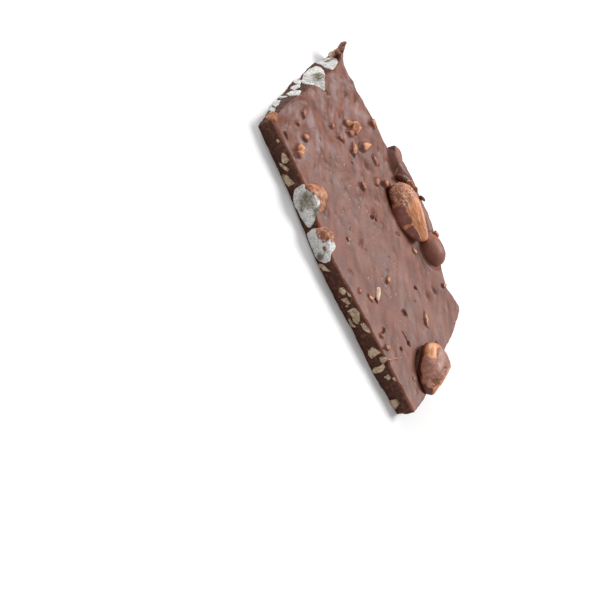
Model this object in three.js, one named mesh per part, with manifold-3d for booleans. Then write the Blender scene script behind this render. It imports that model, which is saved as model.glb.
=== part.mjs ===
// One broken shard of rocky road: a sheet of milk chocolate, snapped by hand on all four
// sides, with whole almonds and coated nuts standing in its face and marshmallows and
// chopped nuts showing in its broken edges.
//
// Millimetres, +Z up. The flat underside lies in z = 0, +X runs along the long front
// edge and the front edge faces -Y. The origin is the middle of the shard's footprint.

import * as THREE from 'three';
import { mergeVertices } from 'three/addons/utils/BufferGeometryUtils.js';
import Module from 'manifold-3d';

const wasm = await Module();
wasm.setup();

// ---------------------------------------------------------------- driving dimensions

const SHEET = 8.6; // thickness of the poured sheet
const CLEARANCE = 0.3; // gap between a set-in piece and its pocket
const FLOOR_LAYER = 0.9; // least chocolate under anything set in the sheet
const MARSH_BULGE = 0.45; // how far a torn marshmallow stands out of the broken edge
const WELD = 1e-4; // points nearer than this are one

// The four broken edges of the face, each a chain of corners [x, y, footX, footY].
// footX and footY say how far the foot of the edge stands from its rim: the left side
// was snapped at a slant and has a deep notch over a marshmallow, the other three are
// nearly square.
const FRONT_EDGE = [
  [-53, -31.2, -0.4, 0],
  [-41, -31.6, 0.3, 0.2],
  [-25, -31.2, 0, -0.4],
  [-9, -33.6, 0.2, 0.2],
  [9, -35.3, 0, 0.7],
  [22, -33.8, 0, -0.3],
  [38, -32.5, 0, 0.3],
  [51, -31.8, 0, -0.7],
  [52.6, -30.6, 0, -1.9],
  [54.2, -31.1, 0, -1.2],
  [75, -29.5, -1.6, 0.3],
];
const RIGHT_EDGE = [
  [75, -29.5, -1.6, 0.3],
  [73.5, -24.5, -1, 0],
  [72, -19.2, 0.2, 0],
  [60, 6.8, 0.6, 0.3],
  [54, 20.8, -0.4, -0.2],
  [48.5, 30.6, 0.4, 0.3],
  [46.5, 31.8, 0.3, -0.8],
];
const FAR_EDGE = [
  [-75, 35.2, 2.6, -3.4],
  [-71.5, 33.2, -0.2, -1.6],
  [-66, 30.8, 0, 0.4],
  [-56, 31, 0, -0.5],
  [-46, 31.8, 0, 0.4],
  [-37, 33.8, 0, -0.6],
  [-27, 33.2, 0, 0.4],
  [-18, 34.8, 0, -0.5],
  [-8, 34.5, 0, 0.3],
  [5, 35.2, 0, -0.6],
  [13, 34.6, 0, 0.2],
  [28, 32, 0, 0.5],
  [37, 29.3, 0, 0.3],
  [42, 30.8, 0, -0.4],
  [46.5, 31.8, 0.3, -0.8],
];
const LEFT_EDGE = [
  [-53, -31.2, -0.4, 0],
  [-57, -17.2, -2.6, 0],
  [-59, -6.2, -4.4, 0],
  [-60.5, 2.8, -6, 0],
  [-61.2, 5.4, -6.2, 0],
  [-56.4, 9.4, -11, 0],
  [-62.4, 12.4, -6.4, 0],
  [-65, 22.8, -7, 0.6],
  [-68.5, 29.4, -3.6, 0.8],
  [-75, 35.2, 2.6, -3.4],
];

const FACE_COLUMNS = 42; // mesh of the face, along the front edge
const FACE_ROWS = 23; // and across it, so that rows meet the corners of the notch
const WALL_ROWS = 3; // mesh of the broken edges, from rim to foot
const WALL_RIPPLE = { depth: 0.35, round: 1.9, down: 2.3 }; // how the broken edges swell and dip

// The face carries two long slow waves from the pour: height, radians for each
// millimetre of x and y, and phase.
const WAVES = [
  { height: 0.22, perX: 0.09, perY: 0.05, phase: 0 },
  { height: 0.16, perX: -0.04, perY: 0.16, phase: 1.3 },
];

// It swells over the nuts along the far edge. Each chain gives a value at an x: how high
// the swell is, the y where it starts and the length over which it climbs.
const SWELL_RISE = [
  [-27.5, 0],
  [-26, 0.8],
  [-23.5, 2.7],
  [-18, 3.4],
  [-8, 3.8],
  [5, 3.1],
  [13, 2.6],
  [22, 0],
];
const SWELL_START = [[-30, 35], [-26.5, 32.6], [-21.5, 30], [-16.5, 28], [-12, 26], [14, 26], [22, 28]];
const SWELL_CLIMB = [[-26, 1.8], [-18, 2], [-12, 8], [22, 8]];

// Its far left corner turns up into a thin torn spur.
const SPUR = { x: -75, y: 35.2, radius: 4.5, height: 1.9 };

// Whole nuts: centre, half lengths along, across and through, and the two turns that lay
// them, in degrees: about Z, and about the nut's own long axis. taper slims the +X end.
// The lower blunt and point are, the fuller are the -X and the +X end.
const NUTS = {
  almond_rear: {
    at: [1, 22.8, 11.2], half: [13, 6.9, 4.7], turns: [-3, 50],
    taper: 0.08, blunt: 0.52, point: 0.8,
  },
  almond_right: {
    at: [62.8, -8.2, 11.3], half: [11, 6.7, 5], turns: [-44, 4],
    taper: 0.2, blunt: 0.66, point: 0.85,
  },
  almond_buried: {
    at: [-20.2, 31.2, 8.1], half: [6.6, 3.8, 3.3], turns: [-24, 20],
    taper: 0.2, blunt: 0.7, point: 0.7,
  },
  nut_round: {
    at: [20.4, 28.9, 9.9], half: [7.2, 5.4, 4.6], turns: [6, 0],
    taper: 0.02, blunt: 0.9, point: 0.9,
  },
  nut_small: {
    at: [-11.4, 31.3, 11], half: [4, 1.9, 1.8], turns: [50, 0],
    taper: 0.1, blunt: 0.8, point: 0.8,
  },
};
const COATED_NUTS = ['almond_buried', 'nut_round']; // the ones wholly under chocolate
const FURROWS = { count: 5, depth: 0.02 }; // shallow grooves along every whole nut

// Marshmallows: centre, half sizes before the broken edge cuts them off, and the yaw
// about Z that lays them along that edge, in degrees.
const MARSHMALLOWS = {
  marshmallow_front_1: { at: [-16.5, -29.6, 6.1], half: [8.5, 7, 5.5], yaw: 0, cut: 'front' },
  marshmallow_front_2: { at: [0, -33, 5.5], half: [7.3, 4.6, 5.2], yaw: 0, cut: 'front' },
  marshmallow_left_1: { at: [-60, 12.2, 4.2], half: [8, 8.9, 3.5], yaw: 0, cut: 'left' },
  marshmallow_left_2: { at: [-67.5, 26.4, 4.1], half: [4.6, 4.2, 3.5], yaw: 10, cut: 'left' },
};

// Chopped nuts that the break went through: centre, half sizes and the yaw as above,
// then a turn about the normal of the front edge.
const CHIPS = {
  chip_front_1: { at: [-29.4, -30.6, 2.9], half: [2.8, 2.4, 2], yaw: 0, turn: -14, cut: 'front' },
  chip_front_2: { at: [30.8, -32.2, 5], half: [3.4, 2.6, 2.3], yaw: 0, turn: 24, cut: 'front' },
  chip_front_3: { at: [46.8, -31.2, 4.7], half: [1.9, 2.4, 2.9], yaw: 0, turn: 10, cut: 'front' },
  chip_front_4: { at: [53.7, -30, 3.5], half: [1.5, 2.2, 2.7], yaw: 0, turn: 0, cut: 'front' },
  chip_corner: { at: [-53, -26.6, 5], half: [2.6, 3.7, 2.7], yaw: 0, turn: 0, cut: 'left' },
};

// How rounded a cut piece is, as the power its unit sphere is taken to: below 1 its box
// fills out.
const SOFT_FULLNESS = 0.82;
const CHIP_FULLNESS = 0.9;

const LONG_PIECE = 5; // a piece with a longer half size gets the fine mesh
const FINE_MESH = [16, 10]; // segments round and along it
const COARSE_MESH = [12, 7];
const NOTCH_PIECE = 'marshmallow_left_1'; // follows the notch, so it has the finest mesh
const FINEST_MESH = [28, 18];

// ---------------------------------------------------------------------------- finishes

const FINISH = {
  chocolate: { color: 0x5e392e, roughness: 0.42, metalness: 0 },
  coated: { color: 0x6a3f33, roughness: 0.36, metalness: 0 },
  almond: { color: 0xb97a52, roughness: 0.55, metalness: 0 },
  marshmallow: { color: 0xe2dcd3, roughness: 0.92, metalness: 0 },
  chip: { color: 0xc9b491, roughness: 0.7, metalness: 0 },
};

// --------------------------------------------------------------------------- outlines

// The point of a chain of corners at the part t of its length, t from 0 to 1.
function alongEdge(corners, t) {
  const lengths = corners.slice(1).map((p, i) => Math.hypot(p[0] - corners[i][0], p[1] - corners[i][1]));
  let rest = t * lengths.reduce((sum, length) => sum + length, 0);
  let i = 0;
  while (i < lengths.length - 1 && rest > lengths[i]) {
    rest -= lengths[i];
    i += 1;
  }
  const part = Math.min(rest / lengths[i], 1);
  return corners[i].map((value, k) => value + (corners[i + 1][k] - value) * part);
}

// The values of a chain of rows where column number axis has the given value.
function rowAt(rows, axis, value) {
  let i = 0;
  while (i < rows.length - 2 && rows[i + 1][axis] < value) i += 1;
  const [a, b] = [rows[i], rows[i + 1]];
  const part = THREE.MathUtils.clamp((value - a[axis]) / (b[axis] - a[axis]), 0, 1);
  return a.map((start, k) => start + (b[k] - start) * part);
}

// Where the broken edge named cut has its surface: its y at this x on the front, its x
// at this y and height on the left.
function brokenSurface(cut, x, y, z) {
  const low = THREE.MathUtils.clamp(1 - z / SHEET, 0, 1);
  if (cut === 'front') {
    const edge = rowAt(FRONT_EDGE, 0, x);
    return edge[1] + edge[3] * low;
  }
  const edge = rowAt(LEFT_EDGE, 1, y);
  return edge[0] + edge[2] * low;
}

// ------------------------------------------------------------------------- the sheet

// Height of the face over a place of the footprint: the sheet's thickness, the waves,
// the swell over the nuts and the turned-up spur.
function faceHeight(x, y) {
  const waves = WAVES.reduce((sum, w) => sum + w.height * Math.sin(x * w.perX + y * w.perY + w.phase), 0);
  const [rise, start, climb] = [SWELL_RISE, SWELL_START, SWELL_CLIMB].map((chain) => rowAt(chain, 0, x)[1]);
  const swell = rise * THREE.MathUtils.smoothstep(y - start, 0, climb);
  const spur = Math.exp(-(((x - SPUR.x) ** 2 + (y - SPUR.y) ** 2) / SPUR.radius ** 2));
  return SHEET + waves + swell + SPUR.height * spur;
}

// Blend of the four edges over the face: u runs along the front edge, v across it.
function facePoint(u, v) {
  const [front, far] = [alongEdge(FRONT_EDGE, u), alongEdge(FAR_EDGE, u)];
  const [left, right] = [alongEdge(LEFT_EDGE, v), alongEdge(RIGHT_EDGE, v)];
  const corner = (k) =>
    (1 - u) * (1 - v) * FRONT_EDGE[0][k] +
    u * (1 - v) * RIGHT_EDGE[0][k] +
    (1 - u) * v * FAR_EDGE[0][k] +
    u * v * FAR_EDGE.at(-1)[k];
  return [0, 1, 2, 3].map(
    (k) => (1 - v) * front[k] + v * far[k] + (1 - u) * left[k] + u * right[k] - corner(k),
  );
}

// The whole sheet as one closed mesh: face, ring of broken edges, flat underside.
function sheetGeometry() {
  const positions = [];
  const index = [];
  const atFace = (i, j) => j * (FACE_COLUMNS + 1) + i;
  const flat = [];
  for (let j = 0; j <= FACE_ROWS; j += 1) {
    for (let i = 0; i <= FACE_COLUMNS; i += 1) {
      const point = facePoint(i / FACE_COLUMNS, j / FACE_ROWS);
      flat.push(point);
      positions.push(point[0], point[1], faceHeight(point[0], point[1]));
      if (i < FACE_COLUMNS && j < FACE_ROWS) {
        const [a, b, c, d] = [atFace(i, j), atFace(i + 1, j), atFace(i + 1, j + 1), atFace(i, j + 1)];
        index.push(a, b, c, a, c, d);
      }
    }
  }

  // The rim, walked once round the face with the sheet on the left hand.
  const rim = [];
  for (let i = 0; i < FACE_COLUMNS; i += 1) rim.push(atFace(i, 0));
  for (let j = 0; j < FACE_ROWS; j += 1) rim.push(atFace(FACE_COLUMNS, j));
  for (let i = FACE_COLUMNS; i > 0; i -= 1) rim.push(atFace(i, FACE_ROWS));
  for (let j = FACE_ROWS; j > 0; j -= 1) rim.push(atFace(0, j));

  let upper = rim;
  for (let row = 1; row <= WALL_ROWS; row += 1) {
    const low = row / WALL_ROWS;
    const lower = rim.map((vertex, k) => {
      const [x, y, footX, footY] = flat[vertex];
      const ripple = Math.sin(k * WALL_RIPPLE.round + row * WALL_RIPPLE.down);
      const rough = WALL_RIPPLE.depth * Math.sin(Math.PI * low) * ripple;
      const away = Math.hypot(x, y);
      const top = positions[vertex * 3 + 2];
      const out = 1 + rough / away;
      positions.push(x * out + footX * low, y * out + footY * low, top * (1 - low));
      return positions.length / 3 - 1;
    });
    upper.forEach((a, k) => {
      const next = (k + 1) % upper.length;
      index.push(a, lower[k], lower[next], a, lower[next], upper[next]);
    });
    upper = lower;
  }

  const foot = upper.map((vertex) => new THREE.Vector2(positions[vertex * 3], positions[vertex * 3 + 1]));
  THREE.ShapeUtils.triangulateShape(foot, []).forEach(([a, b, c]) => {
    index.push(upper[a], upper[c], upper[b]);
  });

  const geometry = new THREE.BufferGeometry();
  geometry.setAttribute('position', new THREE.Float32BufferAttribute(positions, 3));
  geometry.setIndex(index);
  return geometry;
}

// -------------------------------------------------------------------- set-in pieces

// Moves every vertex of a geometry with the function move(Vector3).
function reshape(geometry, move) {
  const position = geometry.attributes.position;
  const point = new THREE.Vector3();
  for (let i = 0; i < position.count; i += 1) {
    move(point.fromBufferAttribute(position, i));
    position.setXYZ(i, point.x, point.y, point.z);
  }
  return geometry;
}

// Segments round and along a rounded piece, fewer on a small one.
function roundMesh(half) {
  if (half === MARSHMALLOWS[NOTCH_PIECE].half) return FINEST_MESH;
  return Math.max(...half) > LONG_PIECE ? FINE_MESH : COARSE_MESH;
}

// A nut about its own centre, long axis on X: an ellipsoid with fuller ends, slimmed
// towards +X, with shallow lengthwise furrows. grow widens it into its pocket.
function nutGeometry({ half, taper, blunt, point }, grow = 0) {
  const geometry = new THREE.SphereGeometry(1, ...roundMesh(half)).rotateZ(-Math.PI / 2);
  const [length, width, depth] = half.map((value) => value + grow);
  return reshape(geometry, (p) => {
    const end = blunt + (point - blunt) * THREE.MathUtils.smoothstep(p.x, -0.5, 0.5);
    const off = Math.hypot(p.y, p.z);
    const full = off > WELD ? off ** (end - 1) : 1;
    const furrow = 1 + FURROWS.depth * Math.cos(FURROWS.count * Math.atan2(p.z, p.y));
    const slim = (1 - taper * p.x - taper * 0.5 * p.x * p.x) * full * furrow;
    p.set(p.x * length, p.y * width * slim, p.z * depth * slim);
  });
}

// A marshmallow or chopped nut in its place. Its box is rounder than an ellipsoid's for
// a soft piece, and the broken edge cuts it off unless it is made as a pocket.
function embeddedGeometry({ at, half, yaw, turn = 0, cut }, soft, grow = 0) {
  const ball = soft ? new THREE.SphereGeometry(1, ...roundMesh(half)) : new THREE.IcosahedronGeometry(1, 1);
  const fullness = soft ? SOFT_FULLNESS : CHIP_FULLNESS;
  const fill = (value) => Math.sign(value) * Math.abs(value) ** fullness;
  const bulge = soft ? MARSH_BULGE : 0;
  const turns = new THREE.Euler(0, THREE.MathUtils.degToRad(turn), THREE.MathUtils.degToRad(yaw));
  const [halfX, halfY, halfZ] = half.map((value) => value + grow);
  return reshape(ball, (p) => {
    const crown = Math.max(0, 1 - Math.hypot(cut === 'front' ? p.x : p.y, p.z) ** 2);
    p.set(fill(p.x) * halfX, fill(p.y) * halfY, fill(p.z) * halfZ).applyEuler(turns);
    p.set(p.x + at[0], p.y + at[1], Math.max(p.z + at[2], FLOOR_LAYER - grow));
    if (grow > 0) return;
    const surface = brokenSurface(cut, p.x, p.y, p.z) - bulge * crown;
    const middle = at[0] - Math.tan(turns.z) * (p.y - at[1]);
    if (cut === 'front') p.y = Math.max(p.y, Math.min(surface, at[1]));
    else p.x = Math.max(p.x, Math.min(surface, middle));
  });
}

// ------------------------------------------------------------------------- booleans

// A closed geometry, wherever matrix places it, as a solid that can be cut.
function toSolid(geometry, matrix = new THREE.Matrix4()) {
  const placed = geometry.clone().applyMatrix4(matrix);
  placed.deleteAttribute('normal');
  placed.deleteAttribute('uv');
  const merged = mergeVertices(placed, WELD);
  return new wasm.Manifold(
    new wasm.Mesh({
      numProp: 3,
      vertProperties: new Float32Array(merged.attributes.position.array),
      triVerts: new Uint32Array(merged.index.array),
    }),
  );
}

function toGeometry(solid) {
  const { vertProperties, triVerts } = solid.getMesh();
  const geometry = new THREE.BufferGeometry();
  geometry.setAttribute('position', new THREE.Float32BufferAttribute(vertProperties, 3));
  geometry.setIndex(Array.from(triVerts));
  geometry.computeVertexNormals();
  return geometry;
}

// ------------------------------------------------------------------------- assembly

function finished(name, geometry, finish) {
  const mesh = new THREE.Mesh(geometry, new THREE.MeshStandardMaterial(FINISH[finish]));
  mesh.name = name;
  return mesh;
}

const shard = new THREE.Group();
const pockets = [];

Object.entries(NUTS).forEach(([name, nut]) => {
  const mesh = finished(name, nutGeometry(nut), COATED_NUTS.includes(name) ? 'coated' : 'almond');
  const [yaw, roll] = nut.turns.map(THREE.MathUtils.degToRad);
  mesh.position.set(...nut.at);
  mesh.rotation.set(roll, 0, yaw, 'ZYX');
  mesh.updateMatrix();
  pockets.push(toSolid(nutGeometry(nut, CLEARANCE), mesh.matrix));
  shard.add(mesh);
});

const setIn = [
  [MARSHMALLOWS, 'marshmallow', true],
  [CHIPS, 'chip', false],
];
setIn.forEach(([pieces, finish, soft]) => {
  Object.entries(pieces).forEach(([name, piece]) => {
    shard.add(finished(name, embeddedGeometry(piece, soft), finish));
    pockets.push(toSolid(embeddedGeometry(piece, soft, CLEARANCE)));
  });
});

const sheet = pockets.reduce((solid, pocket) => solid.subtract(pocket), toSolid(sheetGeometry()));
shard.add(finished('slab', toGeometry(sheet), 'chocolate'));

export default shard;
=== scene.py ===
"""Looks of one hand-broken shard of milk chocolate rocky road.

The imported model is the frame: every piece here stands for one of its nodes or is set in the sheet.
Shapes are worked out in millimetres, with numpy, and handed to the meshes in metres.
"""

from __future__ import annotations

import itertools
import logging
import math
from dataclasses import dataclass, field
from enum import Enum

import bpy
import numpy as np
from mathutils import Matrix, Vector


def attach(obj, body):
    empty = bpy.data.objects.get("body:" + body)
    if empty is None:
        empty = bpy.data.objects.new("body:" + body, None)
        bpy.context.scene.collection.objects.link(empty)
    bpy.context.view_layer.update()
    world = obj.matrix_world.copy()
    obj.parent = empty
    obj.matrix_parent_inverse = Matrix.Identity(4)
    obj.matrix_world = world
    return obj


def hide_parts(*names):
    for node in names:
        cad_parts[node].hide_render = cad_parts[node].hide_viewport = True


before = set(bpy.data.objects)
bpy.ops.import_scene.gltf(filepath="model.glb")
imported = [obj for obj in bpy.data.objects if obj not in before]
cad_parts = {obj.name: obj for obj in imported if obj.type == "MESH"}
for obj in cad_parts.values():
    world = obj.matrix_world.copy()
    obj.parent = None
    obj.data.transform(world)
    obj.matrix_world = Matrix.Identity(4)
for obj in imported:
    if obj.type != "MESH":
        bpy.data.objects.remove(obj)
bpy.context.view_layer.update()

Array = np.ndarray
Colour = tuple[float, float, float]
Triple = tuple[float, float, float]
Outline = tuple[tuple[float, float], ...]
log = logging.getLogger("rocky_road")

MM = 0.001  # metres in a millimetre
BODY = "root"  # the one body of a part without joints
SHEET = 8.6  # thickness of the poured sheet, in mm
POUR = -37.5  # yaw, in degrees, along which the chocolate ran as it was poured
FAR = 99.0  # further than anything on the shard, in mm


# ------------------------------------------------------------------ arithmetic on arrays


def smooth(value: Array, low: float, high: float) -> Array:
    """A step that rises from 0 at low to 1 at high along the cubic 3t^2 - 2t^3."""
    part = np.clip((value - low) / (high - low), 0, 1)
    return part * part * (3 - 2 * part)


def lift(xy: Array, z: Array | float = 0.0) -> Array:
    """Points with the x and y of xy and the given z."""
    return np.concatenate([xy[..., :2], np.broadcast_to(z, xy.shape[:-1])[..., None]], axis=-1)


def apart(first: Array, second: float) -> Array:
    """Difference of two angles in degrees, the short way round."""
    return (first - second + 180) % 360 - 180


@dataclass(frozen=True)
class Grain:
    """Seeded value noise: random values on a cubic lattice, blended along cubics between its corners."""

    seed: int
    side: int = 24

    def at(self, points: Array, size: float, octaves: int = 1) -> Array:
        """Noise from -1 to 1, the sum of octaves that halve in size and weight.

        Args:
            points: places in mm, with the three coordinates on the last axis.
            size: width of one lump in mm.
            octaves: how many octaves are added up.

        Returns:
            One value for each point.
        """
        table = np.random.default_rng(self.seed).uniform(-1, 1, (self.side,) * 3)
        total = np.zeros(points.shape[:-1])
        for octave in range(octaves):
            place = points * (2.0**octave / size) + 7.3 * octave
            cell = np.floor(place).astype(int)
            part = place - cell
            part = part * part * (3 - 2 * part)
            for corner in itertools.product((0, 1), repeat=3):
                weight = np.prod(np.where(np.array(corner), part, 1 - part), axis=-1)
                x, y, z = np.moveaxis((cell + np.array(corner)) % self.side, -1, 0)
                total += weight * table[x, y, z] / 2.0**octave
        return total / (2 - 2.0 ** (1 - octaves))


# --------------------------------------------------------------------- surfaces and meshes


@dataclass
class Surface:
    """A closed surface in millimetres, with one value a point for each of its masks."""

    points: Array
    faces: list[list[int]]
    masks: dict[str, Array] = field(default_factory=dict)

    @staticmethod
    def from_rings(grid: Array, masks: dict[str, Array] | None = None) -> "Surface":
        """Closes a grid of rings: quads join neighbouring rings, and the first and last ring each
        run in to a pole at their middle.

        Args:
            grid: places in mm, shaped (rings, around, 3).
            masks: values shaped (rings, around).

        Returns:
            The closed surface with its faces outward.
        """
        rings, around = grid.shape[:2]
        points = np.concatenate([grid.reshape(-1, 3), grid[0].mean(0)[None], grid[-1].mean(0)[None]])
        ring, spoke = np.meshgrid(np.arange(rings - 1), np.arange(around), indexing="ij")
        after = (spoke + 1) % around
        here, below = ring * around, (ring + 1) * around
        quads = np.stack([here + spoke, here + after, below + after, below + spoke], axis=-1).reshape(-1, 4)
        turn = np.arange(around)
        ahead = (turn + 1) % around
        first = np.stack([np.full(around, rings * around), ahead, turn], axis=-1)
        last = np.stack([np.full(around, rings * around + 1), turn, ahead], axis=-1)
        last[:, 1:] += (rings - 1) * around
        values = {
            name: np.concatenate([value.reshape(-1), [value[0].mean(), value[-1].mean()]])
            for name, value in (masks or {}).items()
        }
        return Surface(points, quads.tolist() + first.tolist() + last.tolist(), values).outward()

    def outward(self) -> "Surface":
        """Turns the faces outward: six times the volume, the sum of the triple products of the
        corners of the triangles that fan out from each face's first corner, has to be positive.

        Returns:
            The same surface.
        """
        fans = np.array([[face[0], *pair] for face in self.faces for pair in zip(face[1:-1], face[2:])])
        a, b, c = (self.points[fans[:, k]] for k in range(3))
        if np.einsum("ij,ij->i", a, np.cross(b, c)).sum() < 0:
            self.faces = [face[::-1] for face in self.faces]
        return self

    @staticmethod
    def joined(parts: list["Surface"]) -> "Surface":
        """Puts all the parts side by side in one surface.

        Args:
            parts: surfaces with the same masks.

        Returns:
            The surface that holds them all.
        """
        shift = np.cumsum([0] + [len(part.points) for part in parts])
        faces = [[v + int(s) for v in face] for part, s in zip(parts, shift) for face in part.faces]
        masks = {name: np.concatenate([part.masks[name] for part in parts]) for name in parts[0].masks}
        return Surface(np.concatenate([part.points for part in parts]), faces, masks)

    def piece(self, name: str, material: bpy.types.Material, crease: float) -> bpy.types.Object:
        """Makes the mesh object, smooth but for edges sharper than the crease.

        Args:
            name: name of the object.
            material: its one material.
            crease: angle in degrees.

        Returns:
            The object, at the origin, with its place in its mesh.
        """
        mesh = bpy.data.meshes.new(name)
        mesh.from_pydata((self.points * MM).tolist(), [], self.faces)
        for mask, values in self.masks.items():
            mesh.attributes.new(mask, "FLOAT", "POINT").data.foreach_set("value", values.astype(np.float32))
        mesh.shade_smooth()
        mesh.set_sharp_from_angle(angle=math.radians(crease))
        mesh.materials.append(material)
        made = bpy.data.objects.new(name, mesh)
        bpy.context.scene.collection.objects.link(made)
        return made


def hand_over(piece: bpy.types.Object, slot: str, *nodes: str) -> None:
    """Makes a piece ride on the shard and stand for its CAD nodes.

    Args:
        piece: the finished object.
        slot: material slot; not used.
        nodes: the nodes it stands for, if any.
    """
    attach(piece, BODY)
    if nodes:
        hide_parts(*nodes)
    log.info("%s: %d faces, stands for %s", piece.name, len(piece.data.polygons), nodes or "no node")


def sphere_directions(rings: int, around: int) -> Array:
    """Unit directions (-cos v, sin v cos u, sin v sin u) with the poles on X, v from pole to pole
    and u round the axis.

    Args:
        rings: rings from pole to pole.
        around: directions round a ring.

    Returns:
        Directions shaped (rings, around, 3).
    """
    v = (np.arange(rings) + 0.5) / rings * math.pi
    u = np.arange(around) / around * 2 * math.pi
    v, u = np.meshgrid(v, u, indexing="ij")
    return np.stack([-np.cos(v), np.sin(v) * np.cos(u), np.sin(v) * np.sin(u)], axis=-1)


def turned(points: Array, yaw: float, roll: float = 0.0) -> Array:
    """Points turned by roll about X and then by yaw about Z, in degrees."""
    spin = Matrix.Rotation(math.radians(yaw), 3, "Z") @ Matrix.Rotation(math.radians(roll), 3, "X")
    return points @ np.array(spin).T


def facet_radius(directions: Array, count: int, seed: int, sharpness: float) -> Array:
    """How far a rounded lump with flat facets reaches in each direction: the p-norm, p being the
    sharpness, of the parts of the direction along random facet normals, to the power -1.

    Args:
        directions: unit directions.
        count: how many facets there are.
        seed: seed of their normals and distances.
        sharpness: how sharp the edges between them are.

    Returns:
        One distance, about 1, for each direction.
    """
    rng = np.random.default_rng(seed)
    normals = rng.normal(size=(count, 3))
    normals /= np.linalg.norm(normals, axis=1, keepdims=True)
    reach = rng.uniform(0.72, 1.0, count)
    along = np.maximum(directions @ normals.T, 0) / reach
    core = 0.75**sharpness
    return (np.sum(along**sharpness, axis=-1) + core) ** (-1 / sharpness)


# ----------------------------------------------------------------------- shader formulas


class Value:
    """A node's output that can stand in a formula: each operator adds one Math node."""

    def __init__(self, recipe: "Recipe", socket: bpy.types.NodeSocket) -> None:
        """Keeps the recipe that adds the nodes and the socket that gives the value."""
        self.recipe = recipe
        self.socket = socket

    def _math(self, operation: str, *terms: "Value | float") -> "Value":
        """One Math node on the terms."""
        return self.recipe.node("ShaderNodeMath", {"operation": operation}, dict(enumerate(terms)))

    def __add__(self, other: "Value | float") -> "Value":
        """Sum."""
        return self._math("ADD", self, other)

    def __sub__(self, other: "Value | float") -> "Value":
        """Difference."""
        return self._math("SUBTRACT", self, other)

    def __rsub__(self, other: float) -> "Value":
        """Difference with the number first."""
        return self._math("SUBTRACT", other, self)

    def __mul__(self, other: "Value | float") -> "Value":
        """Product."""
        return self._math("MULTIPLY", self, other)

    __radd__ = __add__
    __rmul__ = __mul__

    def step(self, low: float, high: float) -> "Value":
        """Rises from 0 where the value is low to 1 where it is high."""
        inputs = {"Value": self, "From Min": low, "From Max": high}
        return self.recipe.node("ShaderNodeMapRange", {"interpolation_type": "SMOOTHSTEP"}, inputs)


class Recipe:
    """A material in the making: its node tree and the surface shader that everything feeds."""

    def __init__(self, name: str, constants: dict[str, float | Colour]) -> None:
        """Starts the material.

        Args:
            name: its name.
            constants: the shader's sockets that are the same all over.
        """
        self.material = bpy.data.materials.new(name)
        self.material.use_nodes = True
        self.tree = self.material.node_tree
        self.shader = self.tree.nodes["Principled BSDF"]
        for socket, value in constants.items():
            self.shader.inputs[socket].default_value = (*value, 1.0) if isinstance(value, tuple) else value
        self.place = self.node("ShaderNodeTexCoord", output="Object")

    def node(
        self,
        kind: str,
        settings: dict[str, object] | None = None,
        inputs: dict[str | int, object] | None = None,
        output: str | int = 0,
    ) -> Value:
        """Adds a node of any kind.

        Args:
            kind: the node's type.
            settings: its properties, which are set first.
            inputs: value or link of its sockets, by name or number.
            output: name or number of the output that is wanted.

        Returns:
            That output.
        """
        made = self.tree.nodes.new(kind)
        for name, value in (settings or {}).items():
            setattr(made, name, value)
        for name, value in (inputs or {}).items():
            socket = made.inputs[name]
            if isinstance(value, Value):
                self.tree.links.new(value.socket, socket)
            else:
                socket.default_value = (*value, 1.0) if socket.type == "RGBA" else value
        return Value(self, made.outputs[output])

    def mask(self, name: str) -> Value:
        """The mesh's own mask of that name."""
        return self.node("ShaderNodeAttribute", {"attribute_name": name}, output="Fac")

    def mix(self, factor: Value | float, first: Value | Colour, second: Value | Colour) -> Value:
        """Colour between first and second."""
        return self.node("ShaderNodeMix", {"data_type": "RGBA"}, {0: factor, 6: first, 7: second}, output=2)

    def noise(self, size: float, detail: float = 2.0, place: Value | None = None) -> Value:
        """Noise from 0 to 1 with lumps of the given size in mm."""
        inputs = {"Vector": place or self.place, "Scale": 1 / (size * MM), "Detail": detail}
        return self.node("ShaderNodeTexNoise", {}, inputs)

    def stretched(self, yaw: float, along: float, roll: float = 0.0) -> Value:
        """Object coordinates turned and pressed together along X, which draws a pattern out.

        Args:
            yaw: turn of that X about the vertical, in degrees.
            along: how many times longer the pattern gets.
            roll: turn about that X, in degrees.

        Returns:
            The coordinates.
        """
        turn = (math.radians(roll), 0.0, math.radians(yaw))
        inputs = {"Vector": self.place, "Rotation": turn, "Scale": (along, 1.0, 1.0)}
        return self.node("ShaderNodeMapping", {"vector_type": "TEXTURE"}, inputs)

    def finish(self, colour: Value, roughness: Value, height: Value, depth: float) -> bpy.types.Material:
        """Feeds the shader.

        Args:
            colour: base colour.
            roughness: roughness.
            height: relief from 0 to 1.
            depth: how deep that relief is, in mm.

        Returns:
            The material.
        """
        bump = self.node("ShaderNodeBump", {}, {"Strength": 1.0, "Distance": depth * MM, "Height": height})
        for socket, value in (("Base Color", colour), ("Roughness", roughness), ("Normal", bump)):
            self.tree.links.new(value.socket, self.shader.inputs[socket])
        return self.material


# --------------------------------------------------------------------------------- finishes


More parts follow.
